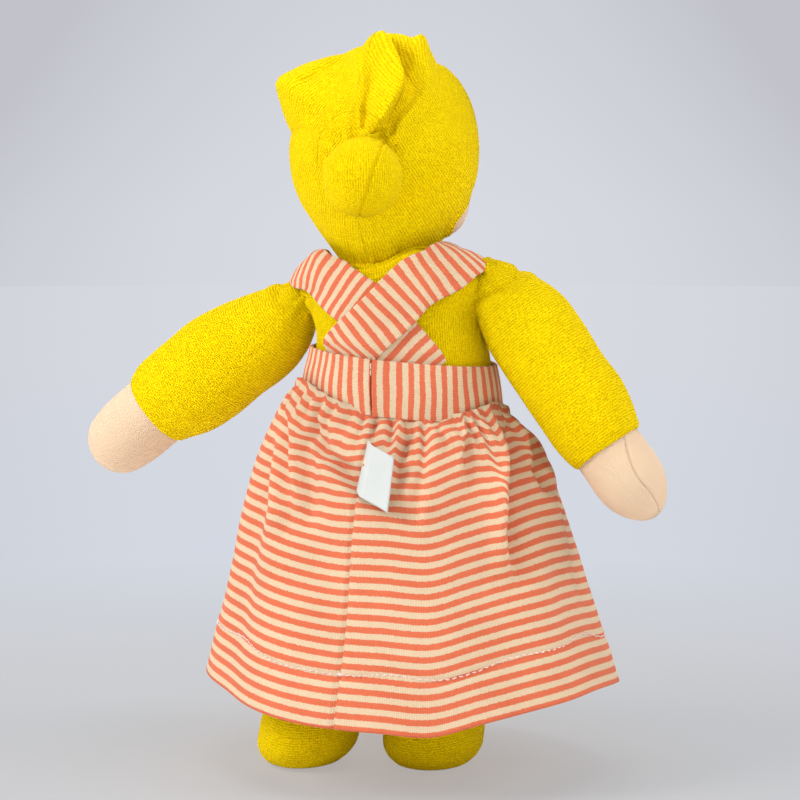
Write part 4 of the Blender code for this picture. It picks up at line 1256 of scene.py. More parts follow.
class DOLL_OT_face(bpy.types.Operator):
    """Sew the jersey head and embroider its eyes and mouth"""

    bl_idname = "doll.face"
    bl_label = "Sew Face"
    bl_options = {"REGISTER", "UNDO"}

    def execute(self, context):
        colours, sizes = settings()
        away = np.radians(np.linspace(0, 156, 150))[:, None]
        angle = np.linspace(0, 2 * np.pi, 201)
        across = np.sin(away) * np.sin(angle)
        ways = np.stack((across, -np.sin(away) * np.cos(angle), np.cos(away) + 0 * angle), axis=2)
        nose = np.degrees(np.arccos(np.clip(ways @ direction(-90, -8), -1, 1)))
        eye_line = np.degrees(np.arcsin(ways[..., 2]))
        front = smooth((-ways[..., 1] - 0.2) / 0.5)
        reach = FACE_RADIUS + 0.0012 * bump(nose, 6.5)
        reach = reach - 0.0004 * front * bump(eye_line + 2, 7)
        reach = reach + cheek_swell(ways)
        points = HEAD + ways * reach[..., None]
        flat = flat_places(angle[None] * FACE_RADIUS, away * FACE_RADIUS)
        head = cut_cloth("face_jersey", points, flat)
        finish = skin_finish("face jersey", colours, sizes, True)
        hand_over(head, finish, "head", ("head_skin", "head_core"))
        self.embroider()
        return {"FINISHED"}

    def embroider(self):
        """Eyes of satin stitches side by side, and a mouth of back stitches."""
        # Each thread's second colour is the painted shade in its twist.
        blue = thread_finish("eye thread", (0.035, 0.055, 0.11), (0.015, 0.025, 0.05))
        red = thread_finish("mouth thread", (0.62, 0.10, 0.09), (0.40, 0.05, 0.05))
        for name, side in (("left", 1), ("right", -1)):
            out = direction(-90 + side * 17, -3)
            foot = HEAD + out * (FACE_RADIUS - 0.0001)
            aside = unit(np.cross(out, (0, 0, 1.0)))
            above = np.cross(aside, out)
            lanes = np.linspace(-1, 1, 7)
            half = np.sqrt(1 - (lanes * 0.86) ** 2)
            middles = foot + aside * (lanes * 0.0017)[:, None]
            tall = above * (half * 0.0021)[:, None]
            solid = "eye_" + name
            eye = stitches(solid + "_stitches", middles - tall, middles + tall, [out] * 7, 0.00034, 0.0005)
            hand_over(eye, blue, "head", (solid,))
        turns = np.linspace(-6.0, 6.0, 7)
        rises = -22.2 + 1.5 * (turns / 6.0) ** 2
        ways = np.array([direction(-90 + turn, rise) for turn, rise in zip(turns, rises)])
        knots = HEAD + ways * (FACE_RADIUS - 0.0001)
        outs = unit((knots[:-1] + knots[1:]) / 2 - HEAD)
        mouth = stitches("mouth_stitches", knots[:-1], knots[1:], outs, 0.0004, 0.0004)
        hand_over(mouth, red, "head", ("mouth",))


class DOLL_OT_pompom(bpy.types.Operator):
    """Sew the stuffed ball at the tip of the hood, and the tip that it hangs from"""

    bl_idname = "doll.pompom"
    bl_label = "Sew Pompom"
    bl_options = {"REGISTER", "UNDO"}

    def execute(self, context):
        colours, sizes = settings()
        hinge = pivot("pompom_swing")
        axis = unit(hinge - POMPOM)
        first = unit(np.cross(axis, SIGHT))
        second = np.cross(axis, first)
        away = np.radians(np.linspace(0, 180, 120))[:, None]
        angle = np.linspace(0, 2 * np.pi, 181)
        around = first * np.cos(angle)[:, None] + second * np.sin(angle)[:, None]
        ways = axis * np.cos(away)[..., None] + np.sin(away)[..., None] * around
        seam = ways @ SIGHT_RIGHT * POMPOM_BALL_RADIUS - 0.0045 - (ways @ SIGHT_UP) * 0.0056
        groove = 0.0008 * bump(seam, 0.0006) - 0.00025 * bump(np.abs(seam) - 0.0016, 0.0009)
        along = away * POMPOM_RADIUS - 0.003
        top = puckers(angle[None], POMPOM_RADIUS * np.sin(away), along, 41, 12, 0.0010, 0.011)
        reach = POMPOM_BALL_RADIUS - groove * smooth((ways @ SIGHT + 0.6) / 0.3) - top
        points = POMPOM + ways * reach[..., None]
        across = np.arctan2(ways @ SIGHT_RIGHT, ways @ SIGHT) * POMPOM_RADIUS
        lean = (ways @ (SIGHT_UP * 0.95 + SIGHT_RIGHT * 0.3)) * POMPOM_RADIUS
        ball = cut_cloth("pompom_ball", points, flat_places(lean, across))
        finish = terry_finish("pompom terry", colours, sizes)
        hand_over(ball, finish, "pompom", ("pompom", "pompom_filling"))
        self.make_tip(hinge, axis, colours, sizes)
        return {"FINISHED"}

    def make_tip(self, hinge, axis, colours, sizes):
        """The hood's tail narrows to a short gathered neck, which ends at the hinge where the pompom swings.
        """
        root = HEAD + unit(hinge - HEAD) * (HOOD_RADIUS - 0.0035)
        route = np.array((root, root * 0.55 + hinge * 0.45 - axis * 0.0003, hinge - axis * 0.0018))
        way = np.linspace(0, 1, 40)
        line = curve_through((0, 0.5, 1), route, way)
        angle = np.linspace(0, 2 * np.pi, 61)
        first = unit(np.cross(route[2] - route[0], (0, 0, 1.0)))
        second = unit(np.cross(first, route[2] - route[0]))
        radius = np.interp(way, (0, 0.25, 0.6, 1), (0.0068, 0.0052, 0.0036, 0.0042))
        radius[0] = 0
        radius[-1] = 0
        radius = radius[:, None] * (1 + 0.13 * np.sin(angle * 9 + 0.6)[None])
        ring = first * np.cos(angle)[:, None] + second * np.sin(angle)[:, None]
        points = line[:, None] + ring[None] * radius[..., None]
        flat = flat_places(angle[None] * 0.005, lengths_down(points))
        tip = cut_cloth("hood_tip", points, flat)
        hand_over(tip, terry_finish("tip terry", colours, sizes))
        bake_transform(tip)


class DOLL_OT_neck(bpy.types.Operator):
    """Gather the neck and tie it"""

    bl_idname = "doll.neck"
    bl_label = "Gather Neck"
    bl_options = {"REGISTER", "UNDO"}

    def execute(self, context):
        colours, sizes = settings()
        low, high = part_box("neck_tie")
        middle = np.array((low + high) / 2)
        angle = np.linspace(0, 2 * np.pi, 361)
        rows = curve_through(np.arange(6), NECK_PROFILE, np.linspace(0, 5, 50))
        tied = bump(rows[:, 0] - 0.0190, 0.0045)[:, None]
        fine = ripple(52, 23, angle[None] + rows[:, 1:] * 60, 2 * np.pi)
        wander = 1.1 * ripple(51, 11, angle, 2 * np.pi)[None] + 0.5 * fine
        pleats = np.abs(np.sin(angle[None] * sizes.neck_gathers / 2 + wander)) ** 0.7
        uneven = 0.7 + 0.3 * ripple(53, 17, angle, 2 * np.pi)[None]
        reach = rows[:, :1] - sizes.gather_depth * 1.7 * tied * (1 - pleats) * uneven + 0.0005 * tied
        height = middle[2] + rows[:, 1:] + 0.0004 * ripple(54, 19, angle, 2 * np.pi)[None]
        x = middle[0] + reach * np.cos(angle)
        y = middle[1] + reach * np.sin(angle)
        points = drop_left_shoulder(np.stack(np.broadcast_arrays(x, y, height), axis=2))
        flat = flat_places(lengths_down(points), angle[None] * NECK_RADIUS)
        piece = cut_cloth("neck_gather", points, flat)
        hand_over(piece, terry_finish("neck terry", colours, sizes), "neck", ("neck_tie",))
        return {"FINISHED"}


def arm_frame(side, drop):
    """The way along an arm that points some degrees below level, and the way up across it."""
    fall = math.radians(drop)
    along = np.array((side * math.cos(fall), 0, -math.sin(fall)))
    lift = np.array((side * math.sin(fall), 0, math.cos(fall)))
    return along, lift


class DOLL_OT_arms(bpy.types.Operator):
    """Sew both sleeves, gathered at the armholes, and both jersey hands"""

    bl_idname = "doll.arms"
    bl_label = "Sew Arms"
    bl_options = {"REGISTER", "UNDO"}

    def execute(self, context):
        self.arm(
            "left", 1, drop=38.5, form=LEFT_SLEEVE, seed=61, seam_turn=205.0,
            hand_shares=LEFT_HAND_SHARES, hand_length=0.0393, hand_radius=0.0178,
        )
        self.arm(
            "right", -1, drop=53.0, form=RIGHT_SLEEVE, seed=62, seam_turn=40.0,
            hand_shares=RIGHT_HAND_SHARES, hand_length=0.0358, hand_radius=0.0157,
        )
        return {"FINISHED"}

    def arm(self, word, side, drop, form, seed, seam_turn, hand_shares, hand_length, hand_radius):
        """A sleeve, its hand, and the thread that sews it to the torso."""
        colours, sizes = settings()
        hub = pivot(word + "_arm_raise")
        along, lift = arm_frame(side, drop)
        form = np.array(form)
        self.sleeve(word, hub, along, lift, form, seed, seam_turn)
        cuff = hub + along * form[-1, 0] + lift * form[-1, 2]
        self.hand(word, cuff, along, lift, hand_shares, hand_length, hand_radius, seam_turn)
        rim = np.linspace(0, 2 * np.pi, 57)
        ring = np.stack((0 * rim, np.cos(rim), np.sin(rim)), axis=1)
        middle = hub - along * ARMHOLE_REACH + lift * form[1, 2]
        spots = middle + ring * ARMHOLE_THREAD_RADIUS
        outs = ring[:-1] + (side * 0.6, 0, 0)
        thread = stitches(word + "_armhole_thread", spots[:-1], spots[1:], outs, 0.0007, 0.0003)
        shade = terry_finish(word + " armhole terry", colours, sizes)
        hand_over(thread, shade, word + "_shoulder", (word + "_armhole_seam",))

    def sleeve(self, word, hub, along, lift, form, seed, seam_turn):
        """A sleeve from its closed root in the armhole to the cuff, which turns in over a small roll."""
        colours, sizes = settings()
        reach = -form[0, 0]
        length = form[-1, 0]
        deeps = np.array(SLEEVE_DEPTHS)
        far = np.linspace(-reach, length, 340)
        high = curve_through(form[:, 0], form[:, 1], far)
        deep = curve_through(deeps[:, 0], deeps[:, 1], far)
        body = np.stack((far, high, deep), axis=1)
        cap = np.radians(np.linspace(0, 84, 12))
        root = -reach - 0.004 * np.cos(cap)
        start = np.stack((root, high[0] * np.sin(cap), deep[0] * np.sin(cap)), axis=1)
        roll = 0.0011
        turns = np.radians(np.linspace(90, -90, 12))[1:]
        shrink = roll * (1 - np.sin(turns))
        cuff = np.stack((length - roll + roll * np.cos(turns), high[-1] - shrink, deep[-1] - shrink), axis=1)
        body = body[body[:, 0] < length - roll]
        inward = np.linspace(length - roll, length - 0.007, 8)[1:]
        inner = np.stack(
            (inward, np.full(7, high[-1] - 2.1 * roll), np.full(7, deep[-1] - 2.1 * roll)), axis=1,
        )
        profile = evenly(np.vstack((start, body)), 175, 2)
        profile = np.vstack((profile, evenly(np.vstack((profile[-1:], cuff, inner)), 22, 2)[1:]))
        angle = np.linspace(0, 2 * np.pi, 221)
        far = profile[:, 0, None]
        share = np.clip(far / length, 0, 1)
        radius = (profile[:, 1, None] + profile[:, 2, None]) / 2
        drawn_up = np.maximum(far + 0.018, -0.002)
        depth = sizes.gather_depth * 0.8
        sunk = puckers(angle[None], radius, drawn_up, seed, sizes.sleeve_gathers, depth, 0.030)
        slack = ripple(seed + 5, 9, angle, 2 * np.pi)[None] * ripple(seed + 6, 10, far, 0.12)
        groove = np.radians(seam_turn)
        apart = turned(angle[None], groove, 2 * np.pi) * radius
        seam = 0.0005 * bump(apart, 0.0005) - 0.0004 * bump(apart - 0.0012, 0.0007)
        degrees = turned(np.degrees(angle)[None], 0)
        bulk = smooth((degrees + 50) / 40) * smooth((150 - degrees) / 40)
        bend = -0.0050 + 0.0030 * np.sin(angle[None] * 2 - 0.6)
        tuck = 0.0014 * bump(far - bend, 0.0018) - 0.0010 * bump(far - bend - 0.0045, 0.0026)
        swell = -sunk - seam * smooth(share * 6) + slack * 0.0007 * smooth(share * 3) - tuck * bulk
        middle = hub + along * far[..., None] + lift * curve_through(form[:, 0], form[:, 2], far)[..., None]
        swell = swell * (profile[:, 1, None] > 0.0001)
        high = (profile[:, 1, None] + swell) * np.cos(angle)
        deep = (profile[:, 2, None] + swell) * np.sin(angle)
        points = puffed(middle + lift * high[..., None] + BACKWARD * deep[..., None], 0.0011, 0.03)
        flat = flat_places(angle[None] * SLEEVE_RADIUS, lengths_down(points).mean(axis=1)[:, None])
        piece = cut_cloth(word + "_sleeve_cloth", points, flat)
        stands_for = (word + "_sleeve", word + "_arm_filling")
        finish = terry_finish(word + " sleeve terry", colours, sizes)
        hand_over(piece, finish, None, stands_for)
        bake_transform(piece)

    def hand(self, word, cuff, along, lift, shares, length, half, seam_turn):
        """A round jersey hand, with its seam sunk in and sewn over with small stitches."""
        colours, sizes = settings()
        knots = np.array(shares) * (length, half)
        outline = curve_through(np.arange(len(knots)), knots, np.linspace(0, len(knots) - 1, 400))
        profile = evenly(outline, 100)
        profile[-1, 1] = 0
        angle = np.linspace(0, 2 * np.pi, 161)
        groove = np.radians(seam_turn)
        radius = profile[:, 1, None]
        share = profile[:, 0, None] / length
        path = groove + (0.35 * np.sin(np.clip(share, 0, 1) * np.pi) if word == "right" else 0)
        apart = turned(angle[None], path, 2 * np.pi) * radius
        seam = 0.0007 * bump(apart, 0.0005) - 0.0002 * bump(np.abs(apart) - 0.0014, 0.0008)
        swell = radius - seam * smooth((1 - share) * 8)
        middle = cuff + along * profile[:, 0, None, None]
        deep = swell * (HAND_DEPTH / half)
        high = lift * (swell * np.cos(angle))[..., None]
        points = middle + high + BACKWARD * (deep * np.sin(angle))[..., None]
        flat = flat_places(angle[None] * half, lengths_down(points))
        piece = cut_cloth(word + "_hand_jersey", points, flat)
        stands_for = (word + "_hand", word + "_hand_filling")
        finish = skin_finish(word + " hand jersey", colours, sizes)
        hand_over(piece, finish, word + "_arm", stands_for)
        rows = np.arange(12, 92, 2)
        column = np.rint((path + 0 * share)[:, 0] % (2 * np.pi) / (2 * np.pi) * 160).astype(int)
        spots = points[rows, column[rows]]
        outs = unit(spots - middle[rows, 0])
        starts = spots - outs * 0.0002
        near = starts[:-1] * 0.8 + starts[1:] * 0.2
        far = starts[:-1] * 0.2 + starts[1:] * 0.8
        sewn = stitches(word + "_hand_stitches", near, far, outs[:-1], 0.00022, 0.0002)
        # The second colour is the painted shade in the thread's twist.
        finish = thread_finish(word + " hand thread", (0.55, 0.20, 0.13), (0.38, 0.12, 0.08))
        hand_over(sewn, finish, word + "_arm")


class DOLL_OT_legs(bpy.types.Operator):
    """Sew both stuffed legs with their flat hip seams"""

    bl_idname = "doll.legs"
    bl_label = "Sew Legs"
    bl_options = {"REGISTER", "UNDO"}

    def execute(self, context):
        self.leg("left", 1, foot_x=0.0450, foot_y=0.0130)
        self.leg("right", -1, foot_x=-0.0125, foot_y=-0.0040)
        return {"FINISHED"}

    def leg(self, word, side, foot_x, foot_y):
        """A leg with a rounded foot, whose top is sewn flat at the hip."""
        colours, sizes = settings()
        table = np.array(LEG_SHARES)
        shares = np.linspace(0, table[-1, 0], 800)
        wide = curve_through(table[:, 0], table[:, 1], shares)
        deep = curve_through(table[:, 0], table[:, 2], shares)
        way = np.interp(shares, table[:, 0], table[:, 3])
        rows = np.stack((wide * LEG_RADIUS, shares * HIP_Z, deep, way), axis=1)
        sole = rows[0] * (0, 1, 0, 1)
        top = rows[-1] * (0, 1, 0, 1)
        top[1] = HIP_Z + 0.0034
        rows = evenly(np.vstack((sole, rows, top)), 170, 2)
        angle = np.linspace(0, 2 * np.pi, 181)
        way = rows[:, 3]
        z = rows[:, 1]
        length = FOOT_HALF_LENGTH + (LEG_RADIUS - FOOT_HALF_LENGTH) * smooth(z / HIP_Z * 2)
        middle_x = BODY_X + foot_x + (side * HIP_X - foot_x) * way
        middle_y = BODY_Y + foot_y - foot_y * way - TOE_SHIFT * (1 - way) ** 2
        slack = ripple(71 + side, 9, angle, 2 * np.pi)[None] * ripple(73 + side, 9, z, 0.13)[:, None]
        swell = slack * 0.0006 * smooth(z / 0.02)[:, None]
        half_width = rows[:, 0, None] + swell * (rows[:, 0, None] > 0.003)
        half_depth = (rows[:, 2] * length)[:, None] + swell * (rows[:, 2, None] > 0.12)
        x = middle_x[:, None] + half_width * np.cos(angle)
        y = middle_y[:, None] + half_depth * np.sin(angle)
        points = puffed(np.stack((x, y, z[:, None] + 0 * angle), axis=2), 0.0009, 0.02)
        flat = flat_places(angle[None] * LEG_RADIUS, lengths_down(points))
        piece = cut_cloth(word + "_leg_suit", points, flat)
        stands_for = (word + "_leg", word + "_leg_filling")
        finish = terry_finish(word + " leg terry", colours, sizes)
        hand_over(piece, finish, word + "_leg", stands_for)


def waist_lift(across):
    """The dress sits higher on the doll's left side."""
    return WAIST_TILT * across / TORSO_HALF_WIDTH


def dress_ring(z, ease, angle):
    """A ring round the torso that stands off it and follows the dress's tilt."""
    lifted = z + waist_lift(TORSO_HALF_WIDTH * np.cos(angle))
    half_width, half_depth, middle_x = torso_section(lifted)
    half_width = half_width - left_hollow(lifted, np.cos(angle))
    x = middle_x + (half_width + ease) * np.cos(angle)
    y = BODY_Y + (half_depth + ease) * np.sin(angle)
    return np.stack((x, y, lifted), axis=-1)


def skirt_heading(turn):
    """How far the skirt's gathers puff up over the lower edge of the waistband."""
    lifted = np.zeros(np.shape(turn))
    for middle, wide, high in SKIRT_HEADINGS:
        apart = turned(turn, middle)
        lifted = lifted + high * bump(apart, wide)
    return lifted


def skirt_points(turn, down):
    """The skirt's middle form at turns in degrees and shares of the way down."""
    angle = np.radians(turn)
    heading = skirt_heading(turn)
    ease = 0.0018 + 0.0024 * smooth(heading / 0.002) + 0.30 * heading
    start = dress_ring(WAIST_Z - 0.0003 + heading, ease, angle)
    hem_z = SKIRT_FRONT_Z + (SKIRT_BACK_Z - SKIRT_FRONT_Z) * (1 + np.sin(angle)) / 2
    hem_z = hem_z + SKIRT_SIDE_RISE * np.cos(angle) ** 2
    corner = np.maximum(np.cos(angle - math.radians(SKIRT_CORNER_TURN)), 0)
    hem_z = hem_z + SKIRT_CORNER_RISE * corner**4 - 0.0024 * bump(turn - 111, 9)
    across = SKIRT_HEM_X + SKIRT_HEM_HALF_WIDTH * np.cos(angle)
    hem_y = BODY_Y + SKIRT_HEM_Y + SKIRT_HEM_HALF_DEPTH * np.sin(angle)
    hem = np.stack((BODY_X + across, hem_y, hem_z + waist_lift(across / 2)), axis=-1)
    table = np.array(SKIRT_SHARES)
    spread = curve_through(table[:, 0], table[:, 1], down)
    points = start + (hem - start) * spread[..., None]
    points[..., 2] = start[..., 2] + (hem[..., 2] - start[..., 2]) * down
    return points, np.stack((np.cos(angle), np.sin(angle), 0 * angle), axis=-1)


def drawn_in(turn, down, sizes):
    """How far the folds, creases and gathers draw the skirt in."""
    drawn = np.zeros(turn.shape)
    for waist_turn, hem_turn, half, depth, deepest in SKIRT_FOLDS:
        apart = turned(turn - waist_turn, (hem_turn - waist_turn) * down)
        fade = np.where(down < deepest, down / deepest, 1 - 0.65 * (down - deepest) / (1 - deepest))
        drawn += (1.15 + 0.95 * down) * depth * fade * bump(apart, half * (1 + down))
    for path, depth, near, far in SKIRT_CREASES:
        path = np.array(path, float)
        apart = turned(turn, np.interp(down, path[:, 0], path[:, 1]))
        length = path[-1, 0] - path[0, 0]
        fade = smooth((down - path[0, 0]) / (length * 0.25) + 0.4)
        fade = fade * smooth((path[-1, 0] - down) / (length * 0.35))
        wide = np.where(apart < 0, near, far)
        dent = bump(apart, wide) - 0.35 * bump(np.abs(apart) - wide * 2.2, wide * 1.1)
        drawn += (1.4 + 1.2 * down) * depth * fade * dent
    for path, depth, sharp, far in SKIRT_PLEATS:
        path = np.array(path, float)
        apart = turned(turn, np.interp(down, path[:, 0], path[:, 1]))
        fade = smooth((path[-1, 0] - down) / (path[-1, 0] * 0.5)) * smooth(down / 0.03)
        drawn -= 1.5 * depth * fade * np.tanh(apart / sharp) * np.exp(-np.abs(apart) / far)
    gathers = 0.5 + 0.5 * np.cos(np.radians(turn * 48) + 3.4 * ripple(81, 31, turn + 10 * down, 360))
    uneven = 0.70 + 0.45 * ripple(82, 29, turn, 360)
    reach = 0.17 + 0.10 * ripple(83, 37, turn, 360)
    gathered = 2.6 * sizes.gather_depth * (gathers**1.6 - 0.5) * uneven
    drawn += gathered * smooth(1 - down / reach) * smooth(down / 0.03 + 0.3)
    drawn -= 0.0015 * smooth(down * 4)
    waves = ripple(84, 13, turn, 360) * ripple(85, 7, down, 1.0)
    drawn += 0.0006 * waves * smooth(down * 5)
    return np.minimum(drawn, 0.0010 + 0.05 * down + 0.08 * down**2)


def seam_turn(down):
    """Where the back seam runs, in degrees, at shares of the way down the skirt."""
    return 88 - 3 * down + 5 * np.exp(-np.asarray(down) / 0.10)


class DOLL_OT_skirt(bpy.types.Operator):
    """Sew the gathered skirt with its turned hem, back seam and label"""

    bl_idname = "doll.skirt"
    bl_label = "Sew Skirt"
    bl_options = {"REGISTER", "UNDO"}

    def execute(self, context):
        colours, sizes = settings()
        rows, columns = 104, 441
        down = np.linspace(0, 1, rows)[:, None] ** 1.12
        turn = seam_turn(down) + 360 * np.linspace(0, 1, columns)[None]
        down = down + 0 * turn
        points, out = skirt_points(turn, down)
        apart = np.abs(turned(turn, seam_turn(down))) * (0.0008 + 0.0008 * down)
        seam = 0.0016 * bump(apart, 0.0008) * smooth(down * 30)
        hem = smooth((down - 0.80) / 0.008) * 0.0005
        crease = 0.0009 * bump(down - self.hem_line(turn), 0.011)
        points = points - out * (drawn_in(turn, down, sizes) + seam - hem + crease)[..., None]
        tuck = points[:1] - out[:1] * 0.0006 + np.array((0, 0, 0.0035))
        points = np.concatenate((tuck, points))
        along = lengths_down(points)
        along = along[-1:] - along
        width = np.linspace(0, 1, columns) * 0.565
        flat = flat_places(width[None], along + 0.0009 * (width[None] > 0.28) - 0.0015)
        piece = cut_cloth("skirt_cloth", points, flat)
        thicken(piece, 0.0010)
        finish = stripe_finish("skirt jersey", colours, sizes, False, 2.2)
        hand_over(piece, finish, "torso", ("skirt",))
        grid = points[1:]
        normals = normals_of(grid, True)
        self.hem_stitches(grid, normals, down[:, 0], columns)
        self.label(grid)
        return {"FINISHED"}

    def hem_line(self, turn):
        """The share of the way down at which the hem is sewn."""
        return 0.815 + 0.018 * ripple(91, 21, turn, 360)

    def hem_stitches(self, grid, normals, down, columns):
        """The zigzag that holds the turned hem, and the knot where its thread ends."""
        turn = seam_turn(0.8) + 360 * np.linspace(0, 1, columns)
        line = np.interp(self.hem_line(turn), down, np.arange(len(down)))
        low = np.floor(line).astype(int)
        way = (line - low)[:, None]
        index = np.arange(columns)
        spots = grid[low, index] * (1 - way) + grid[low + 1, index] * way
        outs = normals[low, index]
        path = np.concatenate((spots, outs), axis=1)
        length = np.linalg.norm(np.diff(spots, axis=0), axis=1).sum()
        count = int(length / HEM_STITCH_STEP)
        path = evenly(path, count, 3)
        zig = np.where(np.arange(count) % 2 == 0, 0.00035, -0.00035)[:, None]
        spots = path[:, :3] + np.array((0, 0, 1.0)) * zig
        outs = path[:, 3:]
        starts = spots[:-1] * 0.9 + spots[1:] * 0.1
        ends = spots[:-1] * 0.15 + spots[1:] * 0.85
        thread = stitches("hem_stitches", starts, ends, outs[:-1], 0.00030, 0.0007)
        turns = np.arctan2(path[:, 1] - BODY_Y, path[:, 0] - BODY_X)
        knot = np.argmin(np.abs(turns - math.radians(HEM_KNOT_TURN)))
        around = path[knot, :3] + np.array((0, 0.0005, 0))
        arms = np.array(((0.0016, 0, 0.0006), (0.0013, 0, -0.0007), (0.0004, 0.0003, 0.0012)))
        tied = stitches("hem_knot", around - arms, around + arms, path[[knot] * 3, 3:], 0.0006, 0.0008)
        # The second colour of each thread is the painted shade in its twist.
        paler = thread_finish("hem knot thread", (0.80, 0.72, 0.68), (0.62, 0.52, 0.48))
        hand_over(tied, paler, "torso")
        pale = thread_finish("hem thread", (0.86, 0.66, 0.62), (0.70, 0.45, 0.42))
        hand_over(thread, pale, "torso")

    def label(self, grid):
        """A bare label, caught in the back seam by one long side and loose at the other."""
        colours, _ = settings()
        tree = tree_over(grid)
        corners = np.array(((90.0, 0.075), (102.5, 0.115), (100.5, 0.285), (88.0, 0.235)))
        rows, columns = 29, 17
        across = np.linspace(0, 1, columns)[None, :, None]
        along = np.linspace(0, 1, rows)[:, None, None]
        top = corners[0] * (1 - across) + corners[1] * across
        foot = corners[3] * (1 - across) + corners[2] * across
        spots = top * (1 - along) + foot * along
        base, out = skirt_points(spots[..., 0], spots[..., 1])
        laid = np.empty(base.shape)
        for row in range(rows):
            for column in range(columns):
                near, normal, _, _ = tree.find_nearest(Vector(base[row, column]))
                spot = np.array(near)
                normal = np.array(normal)
                if normal @ out[row, column] < 0:
                    normal = -normal
                laid[row, column] = spot + normal * 0.0007
        rim = laid[:1] * (1 - along) + laid[-1:] * along
        straight = rim[:, :1] * (1 - across) + rim[:, -1:] * across
        proud = ((laid - straight) * out).sum(axis=2, keepdims=True)
        laid = straight + out * proud.max() * smooth(across * 4)
        loose = across[..., 0] ** 2 * (0.0008 + 0.0016 * along[..., 0] ** 2)
        lifted = laid + out * (0.0009 + loose)[..., None]
        flat = flat_places(np.linspace(0, 0.016, columns)[None], np.linspace(0, 0.025, rows)[:, None])
        piece = cut_cloth("label_tape", lifted, flat)
        thicken(piece, 0.0005, 1)
        hand_over(piece, tape_finish("label tape", colours), "torso", ("care_label",))


def folded_strip(laid, outs, stand, thickness):
    """Rings of a flat tube over a grid of places: its face, a rounded edge, its back, a rounded edge."""
    rims = np.radians(np.linspace(90, -90, 7))[1:-1, None, None]
    core = laid + outs * (stand + thickness / 2)[..., None]
    half = thickness[..., None] / 2
    face = np.moveaxis(core + outs * half, 1, 0)
    back = np.moveaxis(core - outs * half, 1, 0)
    sides = []
    for edge, inner in ((-1, -2), (0, 1)):
        aside = unit(laid[:, edge] - laid[:, inner])
        sides.append(core[:, edge] + (aside * np.cos(rims) + outs[:, edge] * np.sin(rims)) * half[:, edge])
    loop = np.concatenate((face, sides[0], back[::-1], sides[1][::-1], face[:1]))
    return np.moveaxis(loop, 0, 1)


def strap_curve(side):
    """The strap's middle line, from the front of the waistband over a shoulder to the far back side."""
    top = WAIST_Z + WAISTBAND_HEIGHT
    shares = np.array((
        (STRAP_FRONT_X, -0.90, -0.16),
        (STRAP_FRONT_X, -0.90, 0.00),
        (STRAP_FRONT_X * 0.58 + STRAP_SHOULDER_X * 0.42, -0.88, 0.36),
        (STRAP_SHOULDER_X * 1.00, -0.70, 0.74),
        (STRAP_SHOULDER_X * 1.04, -0.16, 0.96),
        (STRAP_SHOULDER_X * 0.92, 0.42, 0.95),
        (0.0183, 0.74, 0.70),
        (0.0008, 0.88, 0.43),
        (-0.0180, 0.92, 0.02),
        (-0.0265, 0.94, -0.16),
    ))
    if side < 0:
        shares[3:, 0] = (0.0358, 0.0398, 0.0352, 0.0234, 0.0092, -0.0148, -0.0235)
    z = top + (TORSO_TOP_Z - top) * shares[:, 2]
    middle_x = torso_section(z)[2]
    knots = np.stack((middle_x + side * shares[:, 0], BODY_Y + TORSO_HALF_DEPTH * shares[:, 1], z), axis=1)
    curve = curve_through(np.arange(len(knots)), knots, np.linspace(0, len(knots) - 1, 261))
    return slope_shoulders(drop_left_shoulder(curve))


